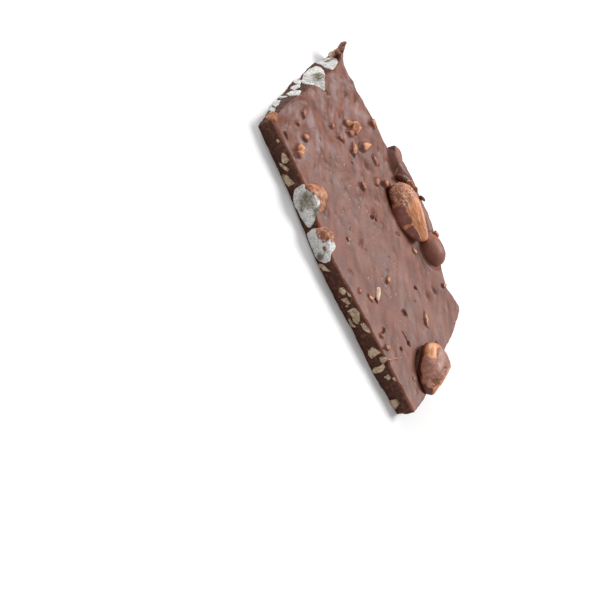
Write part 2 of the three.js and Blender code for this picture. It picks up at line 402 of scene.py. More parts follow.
@dataclass(frozen=True)
class MilkChocolate:
    """Set milk chocolate: a satin face that reddens where it lies thin, and dull broken edges."""

    name: str = "milk_chocolate"
    face: Colour = (0.197, 0.070, 0.044)
    streak: Colour = (0.128, 0.045, 0.029)
    # dull torn chocolate, darkened as painted shade on the broken edges; also painted as shade into the gaps
    # beside the nuts and on the swell's steep front
    torn_and_shade: Colour = (0.056, 0.016, 0.008)
    broken_light: Colour = (0.185, 0.062, 0.030)
    thin: Colour = (0.300, 0.104, 0.066)
    # painted shade: the dark foot of a lump, mostly on its shaded side
    foot: Colour = (0.095, 0.032, 0.019)
    nut: Colour = (0.700, 0.345, 0.180)
    # the rim: partly thinner chocolate, partly a painted highlight along the edge
    rim: Colour = (0.290, 0.096, 0.046)
    # painted sheen: a greyish reflection of the soft boxes, laid on the face in clouds
    painted_sheen: Colour = (0.285, 0.185, 0.178)
    least_rough: float = 0.32

    def material(self) -> bpy.types.Material:
        """Builds it from the sheet's masks: broken edges plus painted shade in the gaps, bare nut with
        painted light on the lumps' lit sides, the rim with a painted highlight, and a painted sheen.

        Returns:
            The material.
        """
        made = Recipe(self.name, {"IOR": 1.46, "Specular IOR Level": 0.32})
        torn_and_shade, bare, rim = made.mask("torn_and_shade"), made.mask("bare"), made.mask("rim")
        drawn = made.noise(4.2, 1.5, made.stretched(POUR, 2.8))
        blotch = made.noise(7.0, 3.0)
        speck = made.noise(3.0, 2.0, made.stretched(POUR, 1.8))
        face = made.mix(drawn.step(0.34, 0.68), self.streak, self.face)
        face = made.mix(speck.step(0.54, 0.74) * blotch.step(0.42, 0.62) * 0.45, face, self.thin)
        cloud = made.noise(5.0, 3.0, made.stretched(POUR, 2.2))
        # painted sheen in drawn-out clouds, stronger towards the left end
        face = made.mix(cloud.step(0.46, 0.70) * made.mask("painted_sheen"), face, self.painted_sheen)
        # painted shade at the feet of the lumps, then thinner chocolate nearer their bare tops
        face = made.mix(bare.step(0.02, 0.25), face, self.foot)
        face = made.mix(bare.step(0.15, 0.45), face, self.thin)
        face = made.mix(bare.step(0.40, 0.85) * (speck * 0.7 + 0.5), face, self.nut)
        torn = made.mix(made.noise(1.6, 5.0).step(0.46, 0.80), self.torn_and_shade, self.broken_light)
        # partly a painted highlight along the rim
        torn = made.mix(rim, torn, self.rim)
        # broken edges take the torn colour, and so does the painted shade of the gaps
        colour = made.mix(torn_and_shade, face, torn)
        fine = made.noise(0.6, 4.0)
        roughness = drawn * 0.12 + fine * 0.08 + torn_and_shade * 0.25 + bare * 0.08 + self.least_rough
        height = drawn * 0.5 + fine * 0.25 + made.noise(1.1, 4.0) * (torn_and_shade * 0.8 + 0.3)
        return made.finish(colour, roughness, height, 0.26)


@dataclass(frozen=True)
class AlmondSkin:
    """Roasted almond skin, wrinkled lengthwise, under patches of chocolate."""

    name: str
    yaw: float
    roll: float
    coat: Colour
    coat_thin: Colour
    skin: Colour = (0.645, 0.262, 0.112)
    # dark red in the grooves of the wrinkles, and the painted shade wherever the mask shade lies
    deep: Colour = (0.085, 0.014, 0.004)
    pale: Colour = (0.840, 0.490, 0.300)
    russet: Colour = (0.390, 0.135, 0.060)
    dull: Colour = (0.270, 0.100, 0.060)
    bloom: Colour = (0.760, 0.450, 0.300)

    def material(self) -> bpy.types.Material:
        """Builds it from the masks coat, mottle and shade of the nut.

        Returns:
            The material.
        """
        made = Recipe(self.name, {"IOR": 1.46, "Specular IOR Level": 0.6})
        coat, mottle, shade = made.mask("coat"), made.mask("mottle"), made.mask("shade")
        along = made.stretched(self.yaw, 5.0, self.roll)
        fibre = made.noise(1.1, 4.0, along)
        grain = made.noise(0.7, 4.0)
        skin = made.mix(fibre.step(0.20, 0.48) * 0.6 + 0.4, self.deep, self.skin)
        skin = made.mix(made.noise(3.2, 3.0).step(0.50, 0.66) * 0.45, skin, self.russet)
        skin = made.mix(made.noise(1.9, 3.0, along).step(0.50, 0.60) * 0.5, skin, self.russet)
        skin = made.mix(made.noise(2.4, 3.0, along).step(0.54, 0.70) * 0.75, skin, self.pale)
        skin = made.mix(mottle * made.noise(3.0, 3.0).step(0.30, 0.52) * 0.9, skin, self.dull)
        skin = made.mix(mottle * made.noise(0.8, 4.0).step(0.50, 0.62) * 0.7, skin, self.bloom)
        # painted shade on the shaded side, the underside and the dents
        skin = made.mix(shade, skin, self.deep)
        thick = made.mix(made.noise(1.5, 6.0).step(0.38, 0.74), self.coat, self.coat_thin)
        colour = made.mix(coat.step(0.3, 0.6), skin, thick)
        roughness = fibre * 0.18 + coat * 0.04 + 0.36
        height = fibre * (1 - coat) * 0.8 + grain * (1 - coat * 0.85) * 0.4 + coat * 0.3
        return made.finish(colour, roughness, height, 0.22)


@dataclass(frozen=True)
class NutCoat:
    """The smooth chocolate coat of a nut that was rolled in it."""

    name: str = "coated_nut"
    coat: Colour = (0.205, 0.070, 0.045)
    thin: Colour = (0.300, 0.098, 0.052)
    # painted shade on the steep facet of the buried nut
    dark: Colour = (0.075, 0.036, 0.025)

    def material(self) -> bpy.types.Material:
        """Builds it: even brown, thinner and redder in soft patches, with painted shade in the mask shade.

        Returns:
            The material.
        """
        made = Recipe(self.name, {"IOR": 1.46, "Specular IOR Level": 0.5})
        soft = made.noise(4.5, 2.0)
        colour = made.mix(soft.step(0.45, 0.75) * 0.6, self.coat, self.thin)
        # painted shade
        colour = made.mix(made.mask("shade") * 0.8, colour, self.dark)
        fine = made.noise(0.5, 3.0)
        return made.finish(colour, fine * 0.1 + 0.45, soft * 0.6 + fine * 0.2, 0.12)


@dataclass(frozen=True)
class TornFoam:
    """Marshmallow torn open: matt white foam with small pores, brown where a film of chocolate holds."""

    name: str = "marshmallow"
    foam: Colour = (0.900, 0.880, 0.865)
    # painted shade: the grey-olive of the foam where it would be hollow
    hollow_shade: Colour = (0.210, 0.180, 0.120)
    film: Colour = (0.600, 0.290, 0.165)
    film_deep: Colour = (0.300, 0.110, 0.068)
    seam: Colour = (0.160, 0.050, 0.025)

    def material(self) -> bpy.types.Material:
        """Builds it from the masks of the marshmallow: its chocolate film, and the painted shade of its
        hollows.

        Returns:
            The material.
        """
        made = Recipe(self.name, {"IOR": 1.4, "Specular IOR Level": 0.25, "Subsurface Weight": 0.12})
        made.shader.inputs["Subsurface Radius"].default_value = (1.2 * MM, 1.0 * MM, 0.8 * MM)
        film, hollow_shade = made.mask("film"), made.mask("hollow_shade")
        fuzz = made.noise(0.9, 6.0)
        cloud = made.noise(2.6, 5.0)
        pores = made.noise(0.5, 3.0).step(0.36, 0.56)
        # painted shade in the hollows and the small pores, over random grey clouds
        grey = hollow_shade.step(0.0, 0.9) * (cloud + 0.3) + cloud.step(0.48, 0.72) * 0.25 + (1 - pores) * 0.30
        foam = made.mix(grey + fuzz.step(0.46, 0.72) * 0.3, self.foam, self.hollow_shade)
        glaze = made.mix(made.noise(3.4, 4.0).step(0.40, 0.60), self.film_deep, self.film)
        glaze = made.mix(made.noise(1.0, 3.0).step(0.55, 0.75) * 0.5, glaze, self.foam)
        colour = made.mix(film.step(0.15, 0.4), foam, self.seam)
        colour = made.mix(film.step(0.45, 0.8), colour, glaze)
        return made.finish(colour, film * -0.38 + 0.9, fuzz * (1 - film * 0.6) + pores * 0.35, 0.7)


@dataclass(frozen=True)
class NutFlesh:
    """Broken nut: cream inside, with a brown rind of skin or chocolate in places."""

    name: str = "chopped_nut"
    flesh: Colour = (0.610, 0.450, 0.315)
    shade: Colour = (0.260, 0.160, 0.100)
    rind: Colour = (0.220, 0.080, 0.035)
    rind_light: Colour = (0.480, 0.190, 0.075)

    def material(self) -> bpy.types.Material:
        """Builds it from the mask film of the bits.

        Returns:
            The material.
        """
        made = Recipe(self.name, {"IOR": 1.45, "Specular IOR Level": 0.35})
        grain = made.noise(0.9, 4.0)
        colour = made.mix(grain.step(0.32, 0.62), self.shade, self.flesh)
        colour = made.mix(made.noise(3.4, 2.0).step(0.46, 0.66) * 0.5, colour, self.shade)
        rind = made.mix(made.noise(1.3, 3.0).step(0.4, 0.7), self.rind, self.rind_light)
        colour = made.mix(made.mask("film"), colour, rind)
        return made.finish(colour, grain * 0.2 + 0.55, grain, 0.15)


@dataclass(frozen=True)
class PaleFloor:
    """A plain white surface to lie on."""

    name: str = "pale_floor"
    white: Colour = (0.86, 0.86, 0.86)
    dim: Colour = (0.80, 0.80, 0.80)

    def material(self) -> bpy.types.Material:
        """Builds it: white, with a roughness that hardly varies.

        Returns:
            The material.
        """
        made = Recipe(self.name, {"Specular IOR Level": 0.2})
        tone = made.mix(made.noise(90.0) * 0.05, self.white, self.dim)
        return made.finish(tone, made.noise(60.0) * 0.05 + 0.85, made.noise(20.0), 0.02)


# ------------------------------------------------------------------------------- broken edges


@dataclass(frozen=True)
class Edge:
    """A broken edge: corners (x, y, foot x, foot y), the last two saying how far its foot stands out."""

    corners: tuple[tuple[float, float, float, float], ...]
    seed: int

    def along(self, parts: Array) -> Array:
        """Corner values at parts of the length, from 0 to 1, with a rim that is jagged but at the ends.

        Args:
            parts: parts of the length.

        Returns:
            One row (x, y, foot x, foot y) for each part.
        """
        corners = np.array(self.corners)
        steps = np.hypot(*np.diff(corners[:, :2], axis=0).T)
        reach = np.concatenate([[0], np.cumsum(steps)])
        line = np.stack([np.interp(parts * reach[-1], reach, column) for column in corners.T], axis=-1)
        slope = np.gradient(line[:, :2], axis=0)
        normal = np.stack([slope[:, 1], -slope[:, 0]], axis=-1)
        normal /= np.linalg.norm(slope, axis=1, keepdims=True)
        jag = 0.34 * Grain(self.seed).at(lift(line), 4.2, 2)
        jag += 0.2 * Grain(self.seed + 1).at(lift(line), 1.3, 2)
        line[:, :2] += normal * (jag * smooth(parts, 0, 0.02) * smooth(1 - parts, 0, 0.02))[:, None]
        return line


FRONT_EDGE = Edge(
    (
        (-53, -31.2, -0.4, 0), (-41, -31.6, 0.3, 0.2), (-25, -31.2, 0, -0.4), (-9, -33.6, 0.2, 0.2),
        (9, -35.3, 0, 0.7), (22, -33.8, 0, -0.3), (38, -32.5, 0, 0.3), (51, -31.8, 0, -0.7),
        (52.6, -30.6, 0, -1.9), (54.2, -31.1, 0, -1.2), (75, -29.5, -1.6, 0.3),
    ),
    11,
)
RIGHT_EDGE = Edge(
    (
        (75, -29.5, -1.6, 0.3), (73.5, -24.5, -1, 0), (72, -19.2, 0.2, 0), (60, 6.8, 0.6, 0.3),
        (57, 13.6, 0, 0), (54, 20.8, -0.4, -0.2), (48.5, 30.6, 0.4, 0.3), (46.5, 31.8, 0.3, -0.8),
    ),
    21,
)
FAR_EDGE = Edge(
    (
        (-75, 35.2, 2.6, -3.4), (-71.5, 33.2, -0.2, -1.6), (-66, 30.8, 0, 0.4), (-56, 31, 0, -0.5),
        (-46, 31.8, 0, 0.4), (-37, 33.8, 0, -0.6), (-27, 33.2, 0, 0.4), (-18, 34.8, 0, -0.5),
        (-8, 34.5, 0, 0.3), (5, 35.2, 0, -0.6), (13, 34.6, 0, 0.2), (28, 32, 0, 0.5),
        (37, 29.3, 0, 0.3), (42, 30.8, 0, -0.4), (46.5, 31.8, 0.3, -0.8),
    ),
    31,
)
LEFT_EDGE = Edge(
    (
        (-53, -31.2, -0.4, 0), (-57, -17.2, -2.6, 0), (-59, -6.2, -4.4, 0), (-60.5, 2.8, -6, 0),
        (-61.2, 5.4, -6.2, 0), (-56.4, 9.4, -11, 0), (-62.4, 12.4, -6.4, 0), (-65, 22.8, -7, 0.6),
        (-68.5, 29.4, -3.6, 0.8), (-75, 35.2, 2.6, -3.4),
    ),
    41,
)


class Side(Enum):
    """The broken edge that a piece shows in, with the axis that runs along it and the one across."""

    FRONT = (FRONT_EDGE, 0, 1)
    LEFT = (LEFT_EDGE, 1, 0)

    def across(self, along: Array, up: Array) -> Array:
        """Where the edge's surface lies: the rim's place at each place along, plus the stand-out of
        its foot times the depth below the face.

        Args:
            along: places along the edge's axis.
            up: heights over the ground.

        Returns:
            The coordinate across the edge for each.
        """
        edge, run, other = self.value
        corners = np.array(edge.corners)
        rim = np.interp(along, corners[:, run], corners[:, other])
        foot = np.interp(along, corners[:, run], corners[:, other + 2])
        return rim + foot * np.clip(1 - up / SHEET, 0, 1)

    def place(self, along: Array, up: Array, out: Array) -> Array:
        """Points on that surface, moved straight out of the edge.

        Args:
            along: places along the edge's axis.
            up: heights over the ground.
            out: how far each is moved out, or in where it is negative.

        Returns:
            The points.
        """
        points = np.stack([along, along, up], axis=-1)
        points[..., self.value[2]] = self.across(along, up) - out
        points[..., self.value[1]] = along
        return points


@dataclass(frozen=True)
class Ball:
    """A round patch: its middle and radius in mm."""

    x: float
    y: float
    z: float
    radius: float

    def weight(self, points: Array) -> Array:
        """1 at its middle, 0 on its surface, negative outside."""
        return 1 - np.linalg.norm(points - np.array([self.x, self.y, self.z]), axis=-1) / self.radius


@dataclass(frozen=True)
class Cut:
    """A nut or a marshmallow that a broken edge cuts through.

    The outline is what shows of it, as corners (along the edge, height) in mm. It goes in by the depth
    and stands out by the bulge, and a lower squareness makes it more of a block. Its cut is rough by so
    many mm in lumps of a size. Films are where its chocolate film lies and hollows where painted shade
    greys the foam, which is not dug there, and it keeps below the ceiling.
    """

    side: Side
    outline: Outline
    depth: float = 2.0
    bulge: float = 0.45
    squareness: float = 0.3
    rough: float = 0.22
    lump: float = 1.8
    seed: int = 1
    films: tuple[Ball, ...] = ()
    hollow_shades: tuple[Ball, ...] = ()
    ceiling: float = FAR

    def reach(self, angles: Array) -> Array:
        """Distance from the outline's middle to the outline: the nearest crossing of the ray at each
        angle with any of its sides.

        Args:
            angles: angles from the edge's axis, in radians.

        Returns:
            One distance for each.
        """
        corners = np.array(self.outline) - np.mean(self.outline, axis=0)
        sides = np.roll(corners, -1, axis=0) - corners
        ray_x, ray_y = np.cos(angles)[..., None], np.sin(angles)[..., None]
        cross = ray_x * sides[:, 1] - ray_y * sides[:, 0]
        cross = np.where(np.abs(cross) < 1e-9, 1e-9, cross)
        far = (corners[:, 0] * sides[:, 1] - corners[:, 1] * sides[:, 0]) / cross
        part = (corners[:, 0] * ray_y - corners[:, 1] * ray_x) / cross
        hit = (part > -1e-6) & (part < 1 + 1e-6) & (far > 0)
        return np.min(np.where(hit, far, FAR), axis=-1)

    def cover(self, points: Array) -> Array:
        """How far out of the outline points on the edge are: 0 at its middle, 1 on it, and
        far_out for points beyond it or away from the edge.

        Args:
            points: places in mm.

        Returns:
            One ratio for each.
        """
        far_out, widest, thickest = 9.0, 12.0, 3.0
        _, run, other = self.side.value
        middle = np.mean(self.outline, axis=0)
        along, up = points[..., run] - middle[0], points[..., 2] - middle[1]
        off = points[..., other] - self.side.across(points[..., run], points[..., 2])
        near = (np.abs(along) < widest) & (np.abs(off) < thickest)
        ratio = np.full(along.shape, far_out)
        ratio[near] = np.hypot(along[near], up[near]) / self.reach(np.arctan2(up[near], along[near]))
        return ratio

    def surface(self, rings: int = 26, around: int = 40) -> Surface:
        """The lump: round its axis, square to the edge, it follows the outline, and from pole to pole
        it widens as a power of the sine. It stands out by the bulge, goes in by the depth and keeps
        a little off the ground.

        Args:
            rings: rings from pole to pole.
            around: points round a ring.

        Returns:
            The closed surface with its masks film and the painted shade of its hollows.
        """
        turn = np.arange(around) / around * 2 * math.pi
        slope = (np.arange(rings) + 0.5) / rings * math.pi
        slope, turn = np.meshgrid(slope, turn, indexing="ij")
        reach = self.reach(turn)
        grain = Grain(self.seed)
        ragged = lift(np.stack([np.cos(turn), np.sin(turn)], axis=-1) * 6)
        reach = reach * (1 + 0.05 * grain.at(ragged, 1.6, 2))
        spread = np.sin(slope) ** self.squareness
        out = np.where(np.cos(slope) > 0, self.bulge, self.depth)
        out = out * np.sign(np.cos(slope)) * np.abs(np.cos(slope)) ** 0.7
        middle = np.mean(self.outline, axis=0)
        along = middle[0] + spread * reach * np.cos(turn)
        up = middle[1] + spread * reach * np.sin(turn)
        flat = np.stack([along, up, out], axis=-1)
        fine = grain.at(flat, self.lump / 3, 3)
        torn = grain.at(flat + 9, self.lump, 2) + 0.4 * fine
        out = out + self.rough * torn * smooth(np.cos(slope), -0.2, 0.3)
        up = np.maximum(up + 0.3 * self.rough * fine, 0.12 + 0.05 * spread)
        up = np.minimum(up, self.ceiling + 0.4 * np.minimum(out, 0))
        points = self.side.place(along, up, out)
        soft = 0.30 * grain.at(points, 2.2, 3)
        film, hollow_shade = np.zeros_like(out), np.zeros_like(out)
        for ball in self.films:
            film = np.maximum(film, smooth(ball.weight(points) + soft, -0.05, 0.07))
        # painted shade of the hollows; the foam is not dug there
        for ball in self.hollow_shades:
            hollow_shade = np.maximum(hollow_shade, smooth(ball.weight(points) + soft, -0.1, 0.8))
        return Surface.from_rings(points, {"film": film, "hollow_shade": hollow_shade})


MARSHMALLOWS = {
    "marshmallow_front_1": Cut(
        Side.FRONT,
        (
            (-25.0, 5.5), (-24.6, 8.2), (-22.4, 10.2), (-18.0, 11.6),
            (-14.6, 11.0), (-12.4, 9.0), (-10.2, 7.4),
            (-9.0, 5.4), (-8.0, 3.3), (-9.7, 2.4), (-14.2, 1.1), (-18.6, 0.6), (-22.2, 1.4), (-24.4, 3.0),
        ),
        depth=11.4, bulge=0.8, squareness=0.5, rough=0.42, lump=3.0, seed=61,
        films=(Ball(-19.6, -22.4, 10.6, 9.2), Ball(-14.2, -26.4, 11.2, 5.0), Ball(-22.4, -30.4, 10.6, 2.4)),
        hollow_shades=(Ball(-18.0, -32.0, 7.6, 5.2), Ball(-12.6, -31.6, 9.4, 3.4), Ball(-16.0, -32.0, 3.8, 2.4)),
    ),
    "marshmallow_front_2": Cut(
        Side.FRONT,
        (
            (-6.8, 1.0), (-7.2, 4.6), (-6.2, 8.8), (-3.2, 10.8), (0.2, 10.0), (3.0, 9.0), (5.6, 7.9),
            (7.2, 6.2), (7.2, 4.3), (5.6, 1.7), (2.6, 0.5), (-2.0, 0.4),
        ),
        depth=5.6, bulge=0.8, squareness=0.5, rough=0.40, lump=2.6, seed=62,
        films=(Ball(-4.4, -28.8, 11.2, 6.3), Ball(-4.0, -34.0, 9.2, 3.6), Ball(1.8, -35.3, 6.8, 1.0)),
        hollow_shades=(Ball(3.4, -37.2, 3.4, 3.4),),
    ),
    "marshmallow_left_1": Cut(
        Side.LEFT,
        (
            (17.5, 0.6), (20.6, 1.6), (21.2, 3.8), (19.6, 5.5), (17.4, 6.8), (14.8, 7.9), (12.2, 8.4),
            (9.4, 8.5), (5.8, 8.4), (4.3, 7.4), (3.5, 4.6), (5.0, 2.2), (10.0, 0.6),
        ),
        depth=5.0, bulge=0.5, squareness=0.42, rough=0.30, lump=2.4, seed=63,
        films=(Ball(-56.8, 9.2, 8.6, 1.3),),
        hollow_shades=(Ball(-64.6, 13.4, 6.4, 3.9), Ball(-66.0, 9.0, 4.6, 1.9)),
        ceiling=8.7,
    ),
    "marshmallow_left_2": Cut(
        Side.LEFT,
        (
            (23.9, 0.6), (28.6, 0.4), (31.8, 1.6), (31.3, 4.7), (29.4, 7.4), (27.4, 8.3), (24.4, 8.4),
            (21.9, 7.9), (22.0, 5.6), (23.3, 3.1),
        ),
        depth=5.0, bulge=0.5, squareness=0.42, rough=0.30, lump=2.4, seed=64,
        hollow_shades=(Ball(-71.6, 26.8, 4.6, 2.7),),
        ceiling=8.7,
    ),
}


def cuts(side: Side, seed: int, *rows: tuple[float, float, Outline]) -> tuple[Cut, ...]:
    """Cuts in one side from rows of depth, bulge and outline, with seeds that count up."""
    return tuple(Cut(side, row[2], row[0], row[1], seed=seed + number) for number, row in enumerate(rows))


FRONT_CHIPS = cuts(
    Side.FRONT, 71,
    (2.4, 0.45, ((-32.2, 1.1), (-31.0, 2.8), (-26.6, 4.7), (-26.6, 1.2), (-28.4, 0.6), (-31.2, 0.4))),
    (2.6, 0.45, (
        (27.6, 2.6), (27.5, 6.0), (28.7, 7.3), (30.7, 7.4),
        (33.2, 5.6), (34.2, 3.8), (32.5, 2.7), (30.2, 3.3),
    )),
    (2.4, 0.45, ((45.4, 2.6), (44.6, 5.2), (46.4, 6.9), (48.1, 7.8), (48.4, 4.9), (48.9, 2.6), (46.9, 1.9))),
    (2.4, 0.45, (
        (53.1, 0.3), (52.4, 1.6), (52.8, 4.0), (52.3, 6.0),
        (53.9, 6.2), (55.0, 4.7), (55.2, 2.3), (54.5, 0.3),
    )),
)
CORNER_CHIP = Cut(
    Side.LEFT, ((-23.0, 1.8), (-22.8, 3.8), (-26.0, 7.4), (-30.6, 9.0), (-31.0, 6.2), (-26.2, 1.3)),
    depth=2.6, bulge=0.7, seed=75, films=(Ball(-56.0, -30.5, 5.4, 6.6),),
)
CHIPS = {f"chip_front_{number}": cut for number, cut in enumerate(FRONT_CHIPS, 1)}
CHIPS["chip_corner"] = CORNER_CHIP
WALL_BITS = (
    *cuts(
        Side.FRONT, 81,
        (1.0, 0.45, ((-45.2, 5.4), (-45.0, 6.6), (-44.0, 6.8), (-43.6, 5.8))),
        (1.8, 0.5, ((-39.8, 5.4), (-38.4, 6.7), (-35.8, 7.1), (-35.0, 5.1), (-36.0, 3.4), (-38.3, 4.2))),
        (1.2, 0.5, ((-36.9, 1.9), (-35.6, 3.2), (-32.6, 5.2), (-32.0, 3.9), (-34.5, 2.2))),
        (1.6, 0.5, ((5.9, 0.4), (7.0, 2.6), (11.2, 4.8), (9.4, 1.7), (7.3, 0.3))),
        (1.8, 0.5, ((17.9, 4.4), (18.6, 6.4), (20.4, 7.0), (21.4, 5.7), (21.2, 4.3), (19.4, 3.6))),
        (1.0, 0.45, ((20.6, 7.0), (22.0, 7.8), (23.6, 7.7), (22.5, 6.5))),
        (1.2, 0.45, ((22.2, 2.5), (22.8, 5.3), (25.6, 5.8), (25.6, 4.7), (24.4, 3.9), (23.5, 3.2))),
        (0.9, 0.45, ((25.7, 2.4), (25.3, 4.3), (26.5, 4.2))),
        (1.2, 0.45, ((30.6, 1.1), (30.8, 2.2), (33.3, 2.0), (34.6, 3.0), (34.9, 2.0), (33.7, 0.5))),
        (1.8, 0.5, ((34.4, 5.1), (34.5, 7.0), (36.2, 7.8), (39.4, 8.1), (39.0, 6.8), (36.9, 5.2))),
        (1.6, 0.6, ((49.6, 6.2), (49.6, 7.5), (50.7, 8.9), (51.6, 8.4), (52.6, 6.0), (51.0, 5.8))),
        (1.2, 0.45, ((57.4, 3.6), (57.0, 6.0), (58.8, 6.2), (59.4, 4.8))),
        (1.0, 0.45, ((59.1, 6.7), (59.0, 7.9), (60.5, 8.1), (60.9, 7.3))),
        (1.8, 0.45, ((66.8, 0.3), (67.5, 3.5), (69.6, 3.8), (70.6, 1.4), (71.2, 0.4), (68.7, 0.2))),
    ),
    Cut(
        Side.LEFT, ((31.4, 3.9), (33.6, 2.0), (34.4, 4.6), (33.0, 7.6), (31.2, 8.6), (31.0, 6.0)),
        depth=1.6, bulge=0.8, rough=0.7, lump=1.1, seed=101, films=(Ball(-71.0, 33.0, 5.0, 9.0),),
    ),
)
SLIVERS = cuts(
    Side.LEFT, 95,
    (1.4, 0.5, ((1.9, 2.9), (3.6, 3.4), (6.0, 2.2), (6.2, 0.5), (3.0, 0.4))),
    (1.4, 0.5, ((-2.0, 1.2), (0.4, 1.7), (2.2, 3.6), (0.3, 4.4), (-2.8, 3.2))),
    (1.6, 0.6, ((-7.2, 2.0), (-4.6, 3.0), (-3.0, 6.5), (-8.2, 8.0), (-8.8, 4.1))),
    (1.0, 0.5, ((-11.2, 0.4), (-9.3, 0.4), (-9.0, 3.6), (-10.6, 3.2))),
    (1.2, 0.5, ((-16.8, 0.3), (-13.1, 0.4), (-13.0, 2.3), (-16.6, 3.3), (-19.2, 2.9))),
    (1.2, 0.5, ((-20.6, 0.3), (-18.2, 0.6), (-20.6, 3.7), (-22.9, 3.9))),
)


@dataclass(frozen=True)
class Fillings:
    """Everything that the broken edges cut: marshmallows, chopped nuts, small bits and slivers."""

    foam_grid: tuple[int, int] = (120, 150)
    chip_grid: tuple[int, int] = (34, 60)
    foam_crease: float = 70.0
    bit_crease: float = 45.0

    def build(self) -> None:
        """Makes a piece for each node, and one piece each for the small bits and the slivers."""
        foam, flesh = TornFoam().material(), NutFlesh().material()
        for node, cut in MARSHMALLOWS.items():
            piece = cut.surface(*self.foam_grid).piece(f"{node}_foam", foam, self.foam_crease)
            hand_over(piece, "marshmallow", node)
        for node, cut in CHIPS.items():
            piece = cut.surface(*self.chip_grid).piece(f"{node}_nut", flesh, self.bit_crease)
            hand_over(piece, "chopped_nut", node)
        for name, small, finish, slot in (
            ("wall_bits", WALL_BITS, flesh, "chopped_nut"),
            ("slivers", SLIVERS, foam, "marshmallow"),
        ):
            joined = Surface.joined([cut.surface() for cut in small])
            hand_over(joined.piece(name, finish, self.bit_crease), slot)


# ---------------------------------------------------------------------------------- the sheet


@dataclass(frozen=True)
class Lump:
    """A small nut under the face: centre, length, width, height and turn, and how bare it is.

    A negative height is a pit.
    """

    x: float
    y: float
    length: float
    width: float
    height: float
    turn: float = 0.0
    bare: float = 0.0


LUMPS = (
    Lump(-38.3, 30.4, 3.8, 3.2, 1.2, 20, 0.7),
    Lump(-58.4, 27.8, 4.6, 3.4, 0.7, 40, 0.35),
    Lump(-39.6, 16.4, 8.0, 5.2, 2.1, 78, 1.0),
    Lump(-42.0, 12.6, 3.2, 3.0, 1.3, 30, 0.7),
    Lump(-37.6, 12.6, 4.6, 3.4, 1.2, 60, 0.5),
    Lump(-30.2, 17.6, 6.8, 3.6, 1.4, 104, 0.75),
    Lump(-30.6, 9.7, 6.2, 2.9, 1.5, -30, 0.8),
    Lump(-22.4, 14.2, 5.6, 3.6, 1.3, -8, 0.3),
    Lump(-23.5, 21.4, 5.0, 3.0, 0.6, 0, 0.4),
    Lump(-14.8, 15.2, 4.2, 3.0, 0.8, -50, 0.5),
    Lump(-15.4, 3.8, 3.8, 3.4, 1.4, 0, 0.5),
    Lump(-2.8, 2.6, 5.4, 4.2, 1.1, -30, 0.35),
    Lump(-37.2, 4.7, 4.4, 3.8, 1.1, 30, 0.5),
    Lump(-42.8, 2.4, 2.6, 2.2, 1.0, 60, 0.6),
    Lump(-51.2, -12.4, 4.2, 2.2, 1.0, -40, 0.5),
    Lump(-48.3, -18.2, 2.8, 2.6, 1.0, 0, 0.45),
    Lump(-41.8, -18.7, 3.4, 3.0, 1.1, 20, 0.65),
    Lump(-37.4, -26.8, 6.2, 4.2, 2.1, 115, 0.9),
    Lump(36.0, 19.6, 4.6, 3.8, 1.4, 20, 0.15),
    Lump(36.8, 13.2, 4.4, 4.0, 1.3, -20, 0.15),
    Lump(36.3, 27.2, 2.2, 1.9, 1.0, 90, 0.85),
    Lump(44.9, 4.6, 7.0, 2.1, 0.9, -26, 0.85),
    Lump(17.6, 17.7, 2.8, 2.4, 0.8, 30, 0.7),
    Lump(8.5, 12.0, 3.2, 2.2, 0.6, 70, 0.35),
    Lump(23.7, -8.4, 3.8, 1.8, 0.9, -60, 0.85),
    Lump(27.0, -24.6, 3.4, 2.2, 0.9, 10, 0.9),
    Lump(22.4, -29.0, 2.4, 1.4, 0.6, -40, 0.6),
    Lump(47.2, -29.3, 3.4, 2.2, 1.2, 70, 0.7),
    Lump(42.3, -29.0, 2.4, 2.0, 0.8, 20, 0.5),
    Lump(14.6, -29.0, 3.4, 3.0, 0.6, 0, 0.2),
    Lump(6.0, -13.8, 6.2, 2.2, 0.6, -55, 0.3),
    Lump(2.3, -20.4, 1.6, 1.5, 0.6, 0, 0.6),
    Lump(55.5, 4.4, 2.0, 1.6, 0.8, 0, 0.1),
    Lump(-12.4, 19.8, 4.4, 3.0, 1.5, 60, 0.7),
    Lump(-5.2, 31.8, 5.0, 3.0, 0.8, 10, 0.2),
    Lump(-56.5, 10.0, 5.4, 3.2, 0.9, 70, 0.3),
    Lump(-53.2, 22.0, 5.0, 3.0, 0.8, -40, 0.2),
    Lump(-49.8, 27.2, 4.6, 3.2, 0.7, -30, 0.2),
    Lump(-27.0, 27.0, 4.6, 3.0, 0.7, -30, 0.2),
    Lump(-46.0, 13.0, 4.6, 3.0, 0.6, -40, 0.1),
    Lump(-19.0, 7.5, 4.4, 3.0, 0.6, -20, 0.2),
    Lump(-8.0, 9.5, 4.6, 3.4, 0.6, 20, 0.15),
    Lump(-56.0, -8.0, 6.0, 4.0, 0.7, 60, 0.1),
    Lump(-50.0, -24.5, 5.0, 3.6, 0.6, 40, 0.1),
    Lump(-29.5, -12.0, 4.0, 3.0, 0.5, 0, 0.2),
    Lump(63.5, -21.2, 1.8, 1.2, 0.4, 0, 0.6),
)
